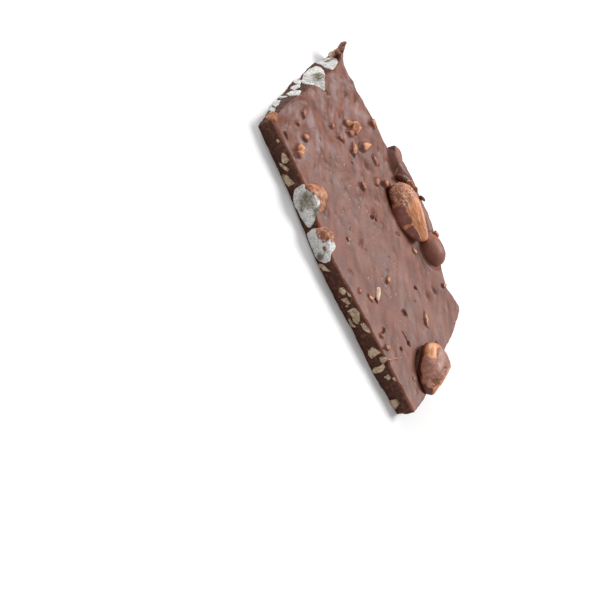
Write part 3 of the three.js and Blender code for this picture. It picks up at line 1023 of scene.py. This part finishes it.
PITS = (
    Lump(-45.0, -28.9, 4.8, 1.3, -1.0, -10),
    Lump(-25.8, 5.6, 1.3, 1.1, -0.6),
    Lump(-2.2, 0.6, 1.8, 1.2, -0.8, 40),
    Lump(-0.6, 2.2, 1.3, 1.0, -0.7),
    Lump(31.5, 7.4, 1.9, 1.3, -0.9, 60),
    Lump(28.6, -20.8, 2.6, 1.1, -0.9, -46),
    Lump(38.8, -6.6, 3.4, 2.2, -1.1, 30),
    Lump(50.1, -13.4, 2.6, 1.8, -1.2, 20),
    Lump(47.2, -13.6, 4.2, 0.7, -0.45, 6),
    Lump(50.7, -19.8, 1.8, 1.4, -1.0, 0),
    Lump(40.7, -25.4, 2.2, 1.6, -0.9, 30),
    Lump(41.7, -27.2, 1.8, 1.2, -0.7, -40),
    Lump(29.0, -21.4, 2.0, 1.4, -0.9, 0),
    Lump(36.2, 3.4, 0.9, 0.9, -0.4),
)


# The far edge swells over the nuts that are buried there: places on X with how high it rises, where on
# Y it starts and how wide its slope is.
SWELL_RISE = ((-27.5, 0.0), (-26.0, 0.8), (-23.5, 2.7), (-18, 3.4), (-8, 3.8), (5, 3.1), (13, 2.6), (22, 0.0))
SWELL_FRONT = ((-30, 35.0), (-26.5, 32.6), (-21.5, 30.0), (-16.5, 28.0), (-12, 26.0), (14, 26.0), (22, 28.0))
SWELL_WIDTH = ((-26, 1.8), (-18, 2.0), (-12, 8.0), (22, 8.0))
# the swell's steep front between these gets painted shade
BURIED = (-26.0, -16.5)  # where on X the swell's front stands steep and dark
SPUR = (-75.0, 35.2)  # the corner that is drawn up to a point
THREAD = (53.0, -25.0)  # a place on the fine pale thread that stands up near the front edge
THREAD_END = -20.0  # where on Y the thread ends
GAPS_END = 68.5  # the gap beside a whole nut closes before the right edge, here on X


@dataclass
class Sheet:
    """The poured sheet: a face blended between four broken edges, the edges and a flat underside."""

    columns: int = 336
    rows: int = 176
    wall_rows: int = 22
    under_rings: int = 7
    loose_seed: int = 5
    loose_lumps: int = 150
    grit: int = 44
    rim_drop: float = 0.22
    spur_rise: float = 1.6
    spur_width: float = 4.5
    gap_depth: float = 1.5
    crease: float = 38.0

    def _plan(self) -> Array:
        """The blended patch: at u along and v across, the two edge points that face each other along
        u plus the two along v, each weighted by nearness, less the four corners' bilinear blend.

        Returns:
            Rows (x, y, foot x, foot y), shaped (rows + 1, columns + 1, 4).
        """
        u = np.linspace(0, 1, self.columns + 1)
        v = np.linspace(0, 1, self.rows + 1)
        front, far = FRONT_EDGE.along(u)[None], FAR_EDGE.along(u)[None]
        left, right = LEFT_EDGE.along(v)[:, None], RIGHT_EDGE.along(v)[:, None]
        u, v = u[None, :, None], v[:, None, None]
        near = (1 - u) * front[:, :1] + u * front[:, -1:]
        away = (1 - u) * far[:, :1] + u * far[:, -1:]
        return (1 - v) * (front - near) + v * (far - away) + (1 - u) * left + u * right

    def _cap(self, xy: Array, lump: Lump, seed: int) -> Array:
        """Profile of a lump from 0 outside it to 1 on its top.

        A covered lump is the bell exp(-2.4 r^2) of its elliptical radius r. A bare one is a polygon:
        the smallest distance to its sides, each at a random turn, taken through a smooth step.

        Args:
            xy: places in mm.
            lump: the lump.
            seed: seed of the polygon.

        Returns:
            The profile at each place.
        """
        rng = np.random.default_rng(seed)
        turn = math.radians(lump.turn)
        along = (xy[..., 0] - lump.x) * math.cos(turn) + (xy[..., 1] - lump.y) * math.sin(turn)
        across = (xy[..., 1] - lump.y) * math.cos(turn) - (xy[..., 0] - lump.x) * math.sin(turn)
        a, b = along / (lump.length / 2), across / (lump.width / 2)
        if 0 < lump.height and lump.bare < 0.4:
            return 0.75 * np.exp(-2.4 * (a * a + b * b))
        sides = rng.integers(5, 8)
        angles = (np.arange(sides) + rng.uniform(-0.35, 0.35, sides)) / sides * 2 * math.pi
        reach = rng.uniform(0.95, 1.35, sides)
        inside = np.min([r - a * math.cos(t) - b * math.sin(t) for r, t in zip(reach, angles)], axis=0)
        return smooth(inside, -0.08, 0.62)

    def _loose(self) -> list[Lump]:
        """Further low lumps, seeded, that thin out towards the right end of the face.

        Returns:
            Grit round the middle of the front half, then the low lumps.
        """
        rng = np.random.default_rng(self.loose_seed)
        count, grit = self.loose_lumps, self.grit
        x, y = rng.uniform(-66, 70, count), rng.uniform(-30, 31, count)
        length, height = rng.uniform(2.4, 7.0, count), rng.uniform(0.10, 0.42, count)
        bare = rng.uniform(-0.35, 0.32, count)
        keep = rng.uniform(0, 1, count) < 0.85 - 0.5 * smooth(x, -20, 60)
        grains = zip(rng.normal(2, 24, grit), rng.normal(-13, 10, grit), rng.uniform(0.8, 1.4, grit))
        lumps = [Lump(a, b, size, 0.8 * size, 0.15, 0, 0.3 + 0.25 * size) for a, b, size in grains]
        for i in np.flatnonzero(keep):
            turn = POUR + 30 * rng.normal()
            lumps.append(Lump(x[i], y[i], length[i], length[i] * 0.6, height[i], turn, max(0.0, bare[i])))
        return lumps

    def _poured(self, xy: Array) -> Array:
        """Height of the face without the nuts: slow waves, ripples drawn out along the pour that grow
        towards the left end, the swell over the buried nuts and the turned-up spur, all added up.

        Args:
            xy: places in mm.

        Returns:
            The height at each place.
        """
        x, y = xy[..., 0], xy[..., 1]
        height = SHEET + 0.22 * np.sin(x * 0.09 + y * 0.05) + 0.16 * np.sin(y * 0.16 - x * 0.04 + 1.3)
        drawn = np.stack([(x * 0.79 - y * 0.61) / 3.5, x * 0.61 + y * 0.79, np.zeros_like(x)], axis=-1)
        uneven = smooth(-x, 14, 44)
        height += (0.12 + 0.30 * uneven) * Grain(3).at(drawn, 3.0, 2)
        height += (0.24 + 0.50 * uneven) * Grain(4).at(lift(xy), 8.0, 3)
        behind = y - np.interp(x, *np.transpose(SWELL_FRONT))
        slope = smooth(behind, 0, np.interp(x, *np.transpose(SWELL_WIDTH)))
        height += np.interp(x, *np.transpose(SWELL_RISE)) * slope
        from_spur = (x - SPUR[0]) ** 2 + (y - SPUR[1]) ** 2
        return height + self.spur_rise * np.exp(-from_spur / self.spur_width**2)

    def _face(self, xy: Array, setting: list["WholeNut"]) -> tuple[Array, Array, Array]:
        """Height of the face, how bare the nuts in it are and where painted shade lies.

        Every lump's cap times its height is added to the poured face, more crumbly where the lump is
        bare. A lump is bare from its top down, and, as painted light, further down on its lit far and
        right sides, while its shaded side keeps the foot and thin colours as painted shade. Chocolate
        climbs round each whole nut, and on the nut's shaded side a gap is dug and given painted shade;
        the steep front of the swell gets painted shade too. A fine thread stands up near the front edge.

        Args:
            xy: places in mm.
            setting: the whole nuts that stand in the face.

        Returns:
            Height, bareness (with painted light on the lumps' lit sides) and painted shade for each place.
        """
        x, y = xy[..., 0], xy[..., 1]
        flat, height, bare = lift(xy), self._poured(xy), np.zeros_like(xy[..., 0])
        behind = y - np.interp(x, *np.transpose(SWELL_FRONT))
        front = smooth(behind, -0.3, 0.5) * smooth(-behind, -2.1, -1.7)
        left, right = BURIED
        # painted shade on the swell's steep front
        painted_shade = 0.35 * front * smooth(x, left - 1, left + 1) * smooth(-x, -right - 1.5, -right + 1.5)
        crumbly = Grain(6).at(flat, 1.4, 3)
        for seed, lump in enumerate((*LUMPS, *PITS, *self._loose())):
            cap = self._cap(xy, lump, 100 + seed)
            height += 1.2 * lump.height * cap * (1 + (0.16 + 0.60 * lump.bare) * crumbly)
            # painted light: a lump is bared further on the side that faces the key light
            lit = np.clip((0.35 * (x - lump.x) + 0.9 * (y - lump.y)) / lump.width, -0.6, 0.6)
            bare_and_lit = smooth(cap, 0.03, 0.25) * smooth(cap + 0.8 * lit + 0.3 * crumbly, 0.05, 1.0)
            bare = np.maximum(bare, lump.bare * bare_and_lit)
        for nut in setting:
            gap = nut.gap(xy)
            height += nut.climb * np.exp(-((np.maximum(gap, 0) / 1.2) ** 2))
            away = (0.28 * (nut.at[0] - x) + 0.96 * (nut.at[1] - y)) / max(nut.half)
            shaded = nut.moat * smooth(away, 0.1, 0.5) * np.exp(-((gap + 0.3) ** 2))
            shaded *= smooth(GAPS_END - x, 0, 2.5)
            height -= self.gap_depth * shaded
            # painted shade in the gap on the nut's shaded side
            painted_shade = np.maximum(painted_shade, smooth(shaded, 0.08, 0.3))
        thread = np.abs(x - THREAD[0] - 0.2 * (y - THREAD[1])) + 0.15 * Grain(8).at(flat, 2.0)
        thread += 10 * smooth(y, THREAD_END - 1, THREAD_END + 1)
        height += 0.14 * np.exp(-((thread / 0.35) ** 2))
        bare = np.maximum(bare, 0.62 * np.exp(-((thread / 0.3) ** 2)))
        return height, bare, painted_shade

    def _wall(self, top: Array, foot: Array) -> Array:
        """The broken edges: a straight line from each rim point down to its foot, roughened across
        the edge by noise that fades at rim and foot, and set back a little behind what is cut.

        Args:
            top: rim points in order round the face.
            foot: how far the foot of each stands out, on X and on Y.

        Returns:
            Points shaped (wall rows, rim points, 3), with the last row on the ground.
        """
        slope = np.roll(top, -3, axis=0) - np.roll(top, 3, axis=0)
        outward = np.stack([slope[:, 1], -slope[:, 0], np.zeros(len(top))], axis=-1)
        outward /= np.linalg.norm(outward, axis=1, keepdims=True)
        down = (np.arange(1, self.wall_rows + 1) / self.wall_rows)[:, None]
        wall = np.stack([*(top[:, k] + foot[:, k] * down for k in range(2)), top[:, 2] * (1 - down)], axis=-1)
        rough = 0.55 * Grain(12).at(wall, 5.0, 2) + 0.28 * Grain(13).at(wall, 1.7, 3)
        rough -= 0.35 * np.abs(Grain(14).at(wall, 3.2, 2))
        cut_through = (*MARSHMALLOWS.values(), *CHIPS.values(), *WALL_BITS, *SLIVERS)
        inside = np.min([cut.cover(wall) for cut in cut_through], axis=0)
        rough = rough * smooth(inside, 1.0, 1.5) - 0.35 * smooth(-inside, -1.05, -0.8)
        wall += outward * (rough * smooth(down, 0, 0.2) * (1 - 0.6 * smooth(down, 0.85, 1)))[..., None]
        wall[-1, :, 2] = 0
        return wall

    def surface(self, setting: list["WholeNut"]) -> Surface:
        """The whole closed sheet: face grid, broken edges from rim to foot, rings of the underside.

        Args:
            setting: the whole nuts that stand in the face.

        Returns:
            The surface with its masks: broken edges with the painted shade of the gaps, bare nut with
            painted light on the lumps' lit sides, the rim (partly a painted highlight, fading under the rim)
            and the painted sheen (fading towards the right end).
        """
        plan = self._plan()
        height, bare, painted_shade = self._face(plan, setting)
        height[[0, -1]] -= self.rim_drop
        height[:, [0, -1]] -= self.rim_drop
        face = lift(plan, height).reshape(-1, 3)
        index = np.arange(len(face)).reshape(height.shape)
        quads = np.stack([index[:-1, :-1], index[:-1, 1:], index[1:, 1:], index[1:, :-1]], axis=-1)
        rim = np.concatenate([index[0, :-1], index[:-1, -1], index[-1, :0:-1], index[:0:-1, 0]])
        wall = self._wall(face[rim], plan.reshape(-1, 4)[rim, 2:])

        inwards = (1 - np.arange(1, self.under_rings + 1) / (self.under_rings + 1))[:, None, None]
        rings = np.concatenate([wall, wall[-1] * inwards])
        around = len(rim)
        numbers = len(face) + np.arange(len(rings) * around).reshape(-1, around)
        numbers = np.concatenate([rim[None], numbers])
        after = np.roll(numbers, -1, axis=1)
        sides = np.stack([numbers[:-1], numbers[1:], after[1:], after[:-1]], axis=-1)
        middle = int(numbers[-1, -1]) + 1
        fan = np.stack([np.full(around, middle), after[-1], numbers[-1]], axis=-1)
        faces = quads.reshape(-1, 4).tolist() + sides.reshape(-1, 4).tolist() + fan.tolist()

        points = np.concatenate([face, rings.reshape(-1, 3), np.zeros((1, 3))])
        row = np.concatenate([np.repeat(np.arange(len(rings)), around), [FAR]])
        masks = {
            # broken edges, plus the painted shade of the gaps on the face
            "torn_and_shade": np.concatenate([painted_shade.reshape(-1), np.ones_like(row)]),
            "bare": np.concatenate([bare.reshape(-1), np.zeros_like(row)]),
            # the rim band: partly thinner chocolate, partly a painted highlight
            "rim": np.concatenate([np.zeros(len(face)), 0.85 * np.clip(1 - row / 1.5, 0, 1)]),
            # how much painted sheen the face gets, more towards the left end
            "painted_sheen": 0.10 + 0.58 * smooth(-points[:, 0], -5, 50),
        }
        return Surface(points, faces, masks).outward()

    def build(self, setting: list["WholeNut"], chocolate: bpy.types.Material) -> None:
        """Makes the sheet's piece, which stands for the slab."""
        hand_over(self.surface(setting).piece("sheet", chocolate, self.crease), "milk_chocolate", "slab")


# ----------------------------------------------------------------------------------- whole nuts


class Coating(Enum):
    """How much chocolate a whole nut carries."""

    PATCHES = "patches"
    WHOLE = "whole"


@dataclass(frozen=True)
class Patch:
    """A patch of chocolate on a nut: middle and half size, along its length from -1 to 1 and round it
    in degrees, where 90 is its upper broad side."""

    along: float
    round: float
    half_along: float
    half_round: float


@dataclass
class WholeNut:
    """A nut about its own long axis, blunt at -X and drawn out to a point at +X, then laid in place.

    Fullness and bluntness round off its two ends, and facets say how much of it is flats. A flat is a
    plane: its normal, its distance from the middle and how much painted shade it gets. Dents are
    shallow, with painted shade in them. Chocolate climbs to it from the face by so many mm, and a moat
    from 0 to 1 is the gap on its shaded side. Angles round it are in degrees, with 90 on its upper
    broad side: where its furrow runs, and from where to where painted shade darkens it. The bloom of
    chocolate ends at mottled_to along it.
    """

    node: str
    at: Triple
    half: Triple
    yaw: float
    roll: float
    taper: float
    coating: Coating
    slot: str
    patches: tuple[Patch, ...] = ()
    mottled_to: float = -2.0
    seed: int = 1
    fullness: float = 0.85
    blunt: float = 0.85
    facets: float = 0.25
    flats: tuple[tuple[Triple, float, float], ...] = ()
    dents: tuple[Patch, ...] = ()
    climb: float = 0.9
    moat: float = 0.0
    furrow: float = 270.0
    shade_from: float = 400.0
    shade_to: float = 290.0
    coat: Colour = (0.200, 0.064, 0.044)
    coat_thin: Colour = (0.300, 0.105, 0.068)
    rings: int = 110
    around: int = 150
    crease: float = 60.0

    def gap(self, xy: Array) -> Array:
        """Distance from places on the face to the nut's outline seen from above, taken as an ellipse:
        the elliptical radius less 1, times the half width.

        Args:
            xy: places in mm.

        Returns:
            Distances in mm, about, negative inside.
        """
        turn = math.radians(self.yaw)
        lean = math.radians(self.roll)
        x, y = xy[..., 0] - self.at[0], xy[..., 1] - self.at[1]
        width = math.hypot(self.half[1] * math.cos(lean), self.half[2] * math.sin(lean))
        along = (x * math.cos(turn) + y * math.sin(turn)) / self.half[0]
        across = (y * math.cos(turn) - x * math.sin(turn)) / width
        return (np.hypot(along, across) - 1) * width

    def surface(self) -> Surface:
        """The nut: an ellipsoid filled out to blunter ends, slimmed towards its point, with flats,
        dented by slow noise, furrowed lengthwise and wrinkled by fine noise. Patches of chocolate
        stand proud by their thickness. What reaches past a flat is pushed back nearly to it.

        Returns:
            The closed surface with its masks coat, mottle and shade.
        """
        ray = sphere_directions(self.rings, self.around)
        length, width, depth = self.half
        t = ray[..., 0]
        slim = 1 - self.taper * t - self.taper * 0.5 * t * t
        fullness = self.blunt + (self.fullness - self.blunt) * smooth(t, -0.5, 0.5)
        slim *= (1 - t * t) ** ((fullness - 1) / 2)
        body = ray * np.stack([np.full_like(t, length), width * slim, depth * slim], axis=-1)
        facets = facet_radius(ray, count=14, seed=self.seed, sharpness=14)
        body *= (1 - self.facets + self.facets * facets / facets.mean())[..., None]
        around = np.degrees(np.arctan2(ray[..., 2], ray[..., 1]))
        grain = Grain(self.seed)
        coat = np.zeros_like(t)
        ragged = 0.42 * grain.at(body, 4.5, 3)
        for patch in self.patches:
            reach = (apart(around, patch.round) / patch.half_round) ** 4
            reach += ((t - patch.along) / patch.half_along) ** 4
            coat = np.maximum(coat, smooth(1 - reach**0.25 + ragged, -0.04, 0.05))
        if self.coating is Coating.WHOLE:
            coat = np.ones_like(t)
        skin = 1 - coat
        strung = body * np.array([0.22, 1.0, 1.0])
        relief = 0.035 * length * grain.at(body, 8.0, 2)
        relief += skin * 0.16 * grain.at(strung, 1.3, 3)
        relief -= skin * 0.22 * np.abs(grain.at(strung + 40, 2.2, 2))
        mottle = smooth(self.mottled_to + 0.006 * (around - 90) - t, -0.15, 0.15) * skin
        relief -= 0.35 * np.exp(-((apart(around, self.furrow) / 9) ** 2)) * (1 - t * t)
        # painted shade on the underside and shaded side, fading out towards the far side
        below = around % 360 + 26 * grain.at(body + 20, 3.0, 2)
        shade = smooth(below, self.shade_from, self.shade_from + 40)
        shade *= 1 - smooth(around % 360, self.shade_to, self.shade_to + 45)
        for dent in self.dents:
            off = apart(around, dent.round) / dent.half_round
            deep = np.exp(-(off**2) - ((t - dent.along) / dent.half_along) ** 2)
            deep *= 1 + 1.1 * grain.at(body + 30, 1.3, 3)
            relief -= 0.5 * deep
            # painted shade in the dents
            shade = np.maximum(shade, 0.75 * smooth(deep, 0.1, 0.4))
            coat *= 1 - smooth(deep, 0.35, 0.6)
        relief += mottle * 0.14 * grain.at(body, 0.8, 2) + coat * (0.28 + 0.13 * grain.at(body, 1.8, 3))
        outward = ray / np.array(self.half)
        outward /= np.linalg.norm(outward, axis=-1, keepdims=True)
        placed = turned(body + outward * relief[..., None], self.yaw, self.roll)
        for normal, reach, dark in self.flats:
            normal = np.array(normal) / np.linalg.norm(normal)
            beyond = placed @ normal - reach
            placed = placed - np.maximum(beyond, 0)[..., None] * normal * 0.92
            # painted shade on a flat, as much as the flat asks for
            shade = np.maximum(shade, dark * smooth(beyond, 0, 0.25))
        placed = placed + np.array(self.at)
        return Surface.from_rings(placed, {"coat": coat, "mottle": mottle, "shade": shade})

    def build(self) -> None:
        """Makes the nut's piece, which stands for its node."""
        if self.coating is Coating.WHOLE:
            finish = NutCoat(f"{self.node}_coat")
        else:
            finish = AlmondSkin(f"{self.node}_skin", self.yaw, self.roll, self.coat, self.coat_thin)
        piece = self.surface().piece(f"{self.node}_nut", finish.material(), self.crease)
        hand_over(piece, self.slot, self.node)


WHOLE_NUTS = [
    WholeNut(
        "almond_rear", (1.0, 22.8, 11.2), (13.0, 6.9, 4.7), -3, 50, 0.08, Coating.PATCHES, "roasted_almond",
        patches=(Patch(0.15, 136, 0.33, 42), Patch(0.80, 130, 0.28, 44)),
        mottled_to=-0.04, seed=51, fullness=0.80, blunt=0.54, facets=0.4,
        flats=(((-0.75, 0.55, 0.35), 9.9, 0),), climb=0.2, moat=1.0, shade_from=120,
    ),
    WholeNut(
        "almond_right", (62.8, -8.4, 11.3), (10.6, 6.7, 5.0), -44, 4, 0.20, Coating.PATCHES, "roasted_almond",
        patches=(
            Patch(0.48, 142, 0.56, 46), Patch(-0.24, 74, 0.50, 40), Patch(0.74, 114, 0.3, 28),
            Patch(0.42, 80, 0.34, 30), Patch(0.2, 8, 0.6, 20),
        ),
        mottled_to=-1.2, seed=52, blunt=0.66, facets=0.85, flats=(((-0.21, 0.96, 0.30), 6.7, 0),),
        # painted shade in both dents: a dark pit, and the whole lower end darkened
        dents=(Patch(0.24, 60, 0.17, 16), Patch(0.92, 95, 0.20, 60)),
        climb=0.2, moat=1.0, shade_from=146, coat=(0.235, 0.090, 0.062), coat_thin=(0.400, 0.175, 0.120),
    ),
    WholeNut(
        "almond_buried", (-20.6, 32.0, 8.7), (6.2, 4.4, 3.9), -24, 20, 0.2, Coating.WHOLE, "coated_nut",
        seed=53, fullness=0.7, blunt=0.7, facets=0.4,
        # the first flat is the steep front facet, given painted shade
        flats=(((-0.42, -0.80, 0.34), 1.0, 1), ((0, 0, 1), 2.8, 0)), climb=0.1,
    ),
    WholeNut(
        "nut_round", (20.4, 28.9, 9.9), (7.2, 5.4, 4.6), 6, 0, 0.02, Coating.WHOLE, "coated_nut",
        seed=54, fullness=0.9, blunt=0.9, facets=0.12,
    ),
    WholeNut(
        "nut_small", (-11.6, 31.2, 10.9), (4.2, 2.0, 1.9), 50, 0, 0.1, Coating.PATCHES, "roasted_almond",
        # the shade mask covers this nut all round: here it gives the nut's own dark red, not shade
        mottled_to=2.0, seed=55, fullness=0.8, blunt=0.8, facets=0.4, climb=0.2, shade_from=-80, shade_to=400,
        rings=50, around=60,
    ),
]


# ------------------------------------------------------------------------------------ small bits


@dataclass(frozen=True)
class Bit:
    """A small broken nut set in the sheet: centre, half sizes, yaw, roll and how much rind it has."""

    at: Triple
    half: Triple
    yaw: float = 0.0
    roll: float = 0.0
    rind: float = 0.0
    seed: int = 0

    def surface(self, rings: int = 26, around: int = 34) -> Surface:
        """The bit: a lump with flat facets, stretched to its half sizes, with a grainy skin.

        Args:
            rings: rings from pole to pole.
            around: points round a ring.

        Returns:
            The closed surface with its mask film.
        """
        ray = sphere_directions(rings, around)
        facets = facet_radius(ray, count=9, seed=700 + self.seed, sharpness=10)
        body = ray * facets[..., None] * np.array(self.half)
        grain = Grain(self.seed)
        body *= 1 + 0.13 * grain.at(body, 1.1, 3)[..., None]
        rind = smooth(self.rind + 0.5 * grain.at(body, 2.0, 2), 0.45, 0.55)
        return Surface.from_rings(turned(body, self.yaw, self.roll) + np.array(self.at), {"film": rind})


BITS = (
    Bit((-22.4, -30.9, 9.4), (1.9, 1.3, 1.5), 10, 30, 0.75, 1),
    Bit((15.3, 34.0, 11.6), (1.5, 1.1, 1.0), -30, 20, 0.75, 3),
    Bit((-8.6, 31.6, 12.4), (1.9, 1.2, 1.0), 40, 10, 0.56, 4),
    Bit((-6.0, 32.6, 12.6), (1.4, 1.0, 0.9), 10, 30, 0.54, 5),
)
PALE_BITS = (
    Bit((27.0, -18.6, 8.9), (3.3, 0.8, 0.8), -41, 20, 0.25, 2),
    Bit((-72.6, 30.0, 6.2), (1.2, 1.6, 1.5), 0, 0, -0.4, 8),
)
CRUMBS = (
    Bit((-72.6, 32.6, 9.0), (1.7, 2.3, 2.1), 15, 10, 0.5, 21),
    Bit((-74.0, 33.6, 9.8), (1.0, 1.5, 1.8), 40, 0, 0.3, 22),
    Bit((-71.8, 30.8, 8.8), (1.2, 1.4, 1.0), 80, 0, 0.6, 23),
    Bit((-74.1, 34.6, 10.5), (0.5, 1.1, 1.0), 20, 30, 0.4, 24),
    Bit((-0.8, 35.0, 12.6), (1.4, 0.8, 0.8), 30, 10, 0, 25),
)


@dataclass(frozen=True)
class LooseBits:
    """The broken nuts set in the face, toasted or pale, and the crumbs on the spur and the far edge."""

    toasted: NutFlesh = NutFlesh("toasted_nut", flesh=(0.72, 0.46, 0.29), shade=(0.34, 0.17, 0.09))
    pale: NutFlesh = NutFlesh(
        "pale_nut", flesh=(0.86, 0.66, 0.50), shade=(0.66, 0.43, 0.30), rind_light=(0.55, 0.26, 0.13)
    )
    crease: float = 50.0

    def build(self, chocolate: bpy.types.Material) -> None:
        """Makes one piece of each kind; the crumbs carry the masks of the sheet.

        Args:
            chocolate: the sheet's material, which the crumbs share.
        """
        for name, bits, finish in (("face_bits", BITS, self.toasted), ("pale_bits", PALE_BITS, self.pale)):
            joined = Surface.joined([bit.surface() for bit in bits])
            hand_over(joined.piece(name, finish.material(), self.crease), "chopped_nut")
        crumbs = Surface.joined([bit.surface() for bit in CRUMBS])
        film = crumbs.masks["film"]
        crumbs.masks = {"torn_and_shade": np.full_like(film, 0.1), "bare": 0.36 * film}
        hand_over(crumbs.piece("crumbs", chocolate, self.crease), "milk_chocolate")


# ------------------------------------------------------------------------- light, floor and camera


@dataclass(frozen=True)
class SoftBox:
    """A large soft light: where it stands seen from the shard, its sides in metres and its power."""

    name: str
    towards: Triple
    distance: float
    sides: tuple[float, float]
    watts: float

    def build(self) -> None:
        """Makes the light and turns it to the shard."""
        lamp = bpy.data.lights.new(self.name, "AREA")
        lamp.shape = "RECTANGLE"
        lamp.size, lamp.size_y = self.sides
        lamp.energy = self.watts
        made = bpy.data.objects.new(self.name, lamp)
        away = Vector(self.towards).normalized()
        made.location = away * self.distance
        made.rotation_euler = away.to_track_quat("Z", "Y").to_euler()
        bpy.context.scene.collection.objects.link(made)


@dataclass(frozen=True)
class Viewpoint:
    """The camera that sees the lying shard as the photograph shows it."""

    focal: float = 100.0
    sensor: float = 36.0
    picture: int = 600
    elevation: float = 38.0
    roll: float = -64.7
    scale: float = 2.5
    seen: Triple = (1.70, -15.15, SHEET)
    seen_at: tuple[int, int] = (355, 235)

    def build(self) -> None:
        """Makes the camera.

        It looks along +Y and down by the elevation, rolled in the picture. It stands back from the
        point that one pixel shows by the depth at which a millimetre covers scale pixels.
        """
        low, tilt = math.radians(self.elevation), math.radians(self.roll)
        ahead = Vector((0, math.cos(low), -math.sin(low)))
        up = Vector((0, math.sin(low), math.cos(low)))
        side = Vector((1, 0, 0))
        right = side * math.cos(tilt) - up * math.sin(tilt)
        top = side * math.sin(tilt) + up * math.cos(tilt)
        pixels = self.focal / self.sensor * self.picture
        across, down = (value - self.picture / 2 for value in self.seen_at)
        ray = ahead + right * (across / pixels) - top * (down / pixels)
        lens = bpy.data.cameras.new("camera")
        lens.lens = self.focal
        lens.sensor_width = self.sensor
        lens.clip_start = 0.01
        camera = bpy.data.objects.new("camera", lens)
        place = (Vector(self.seen) - ray * (pixels / self.scale)) * MM
        camera.matrix_world = Matrix.Translation(place) @ Matrix((right, top, -ahead)).transposed().to_4x4()
        bpy.context.scene.collection.objects.link(camera)
        bpy.context.scene.camera = camera


@dataclass
class Studio:
    """White floor, soft boxes and a faint even sky."""

    floor_half: float = 3.0
    sky: float = 0.50
    boxes: tuple[SoftBox, ...] = (
        SoftBox("key_box", (0.12, 0.58, 0.80), 1.5, (0.8, 0.6), 21.0),
        SoftBox("end_box", (-0.88, 0.18, 0.45), 1.2, (0.5, 0.5), 6.5),
    )

    def build(self) -> None:
        """Makes floor, lights, sky and camera."""
        half = self.floor_half
        mesh = bpy.data.meshes.new("floor")
        corners = [(-half, -half, 0), (half, -half, 0), (half, half, 0), (-half, half, 0)]
        mesh.from_pydata(corners, [], [(0, 1, 2, 3)])
        mesh.materials.append(PaleFloor().material())
        floor = bpy.data.objects.new("floor", mesh)
        bpy.context.scene.collection.objects.link(floor)
        for box in self.boxes:
            box.build()
        world = bpy.data.worlds.new("sky")
        world.use_nodes = True
        glow = world.node_tree.nodes["Background"].inputs
        glow["Color"].default_value = (1, 1, 1, 1)
        glow["Strength"].default_value = self.sky
        bpy.context.scene.world = world
        bpy.context.scene.view_settings.view_transform = "Standard"
        Viewpoint().build()


def main() -> None:
    """Builds the studio and every piece."""
    logging.basicConfig(level=logging.INFO, format="%(name)s: %(message)s")
    Studio().build()
    chocolate = MilkChocolate().material()
    Sheet().build(WHOLE_NUTS, chocolate)
    for nut in WHOLE_NUTS:
        nut.build()
    Fillings().build()
    LooseBits().build(chocolate)


if __name__ == "__main__":
    main()
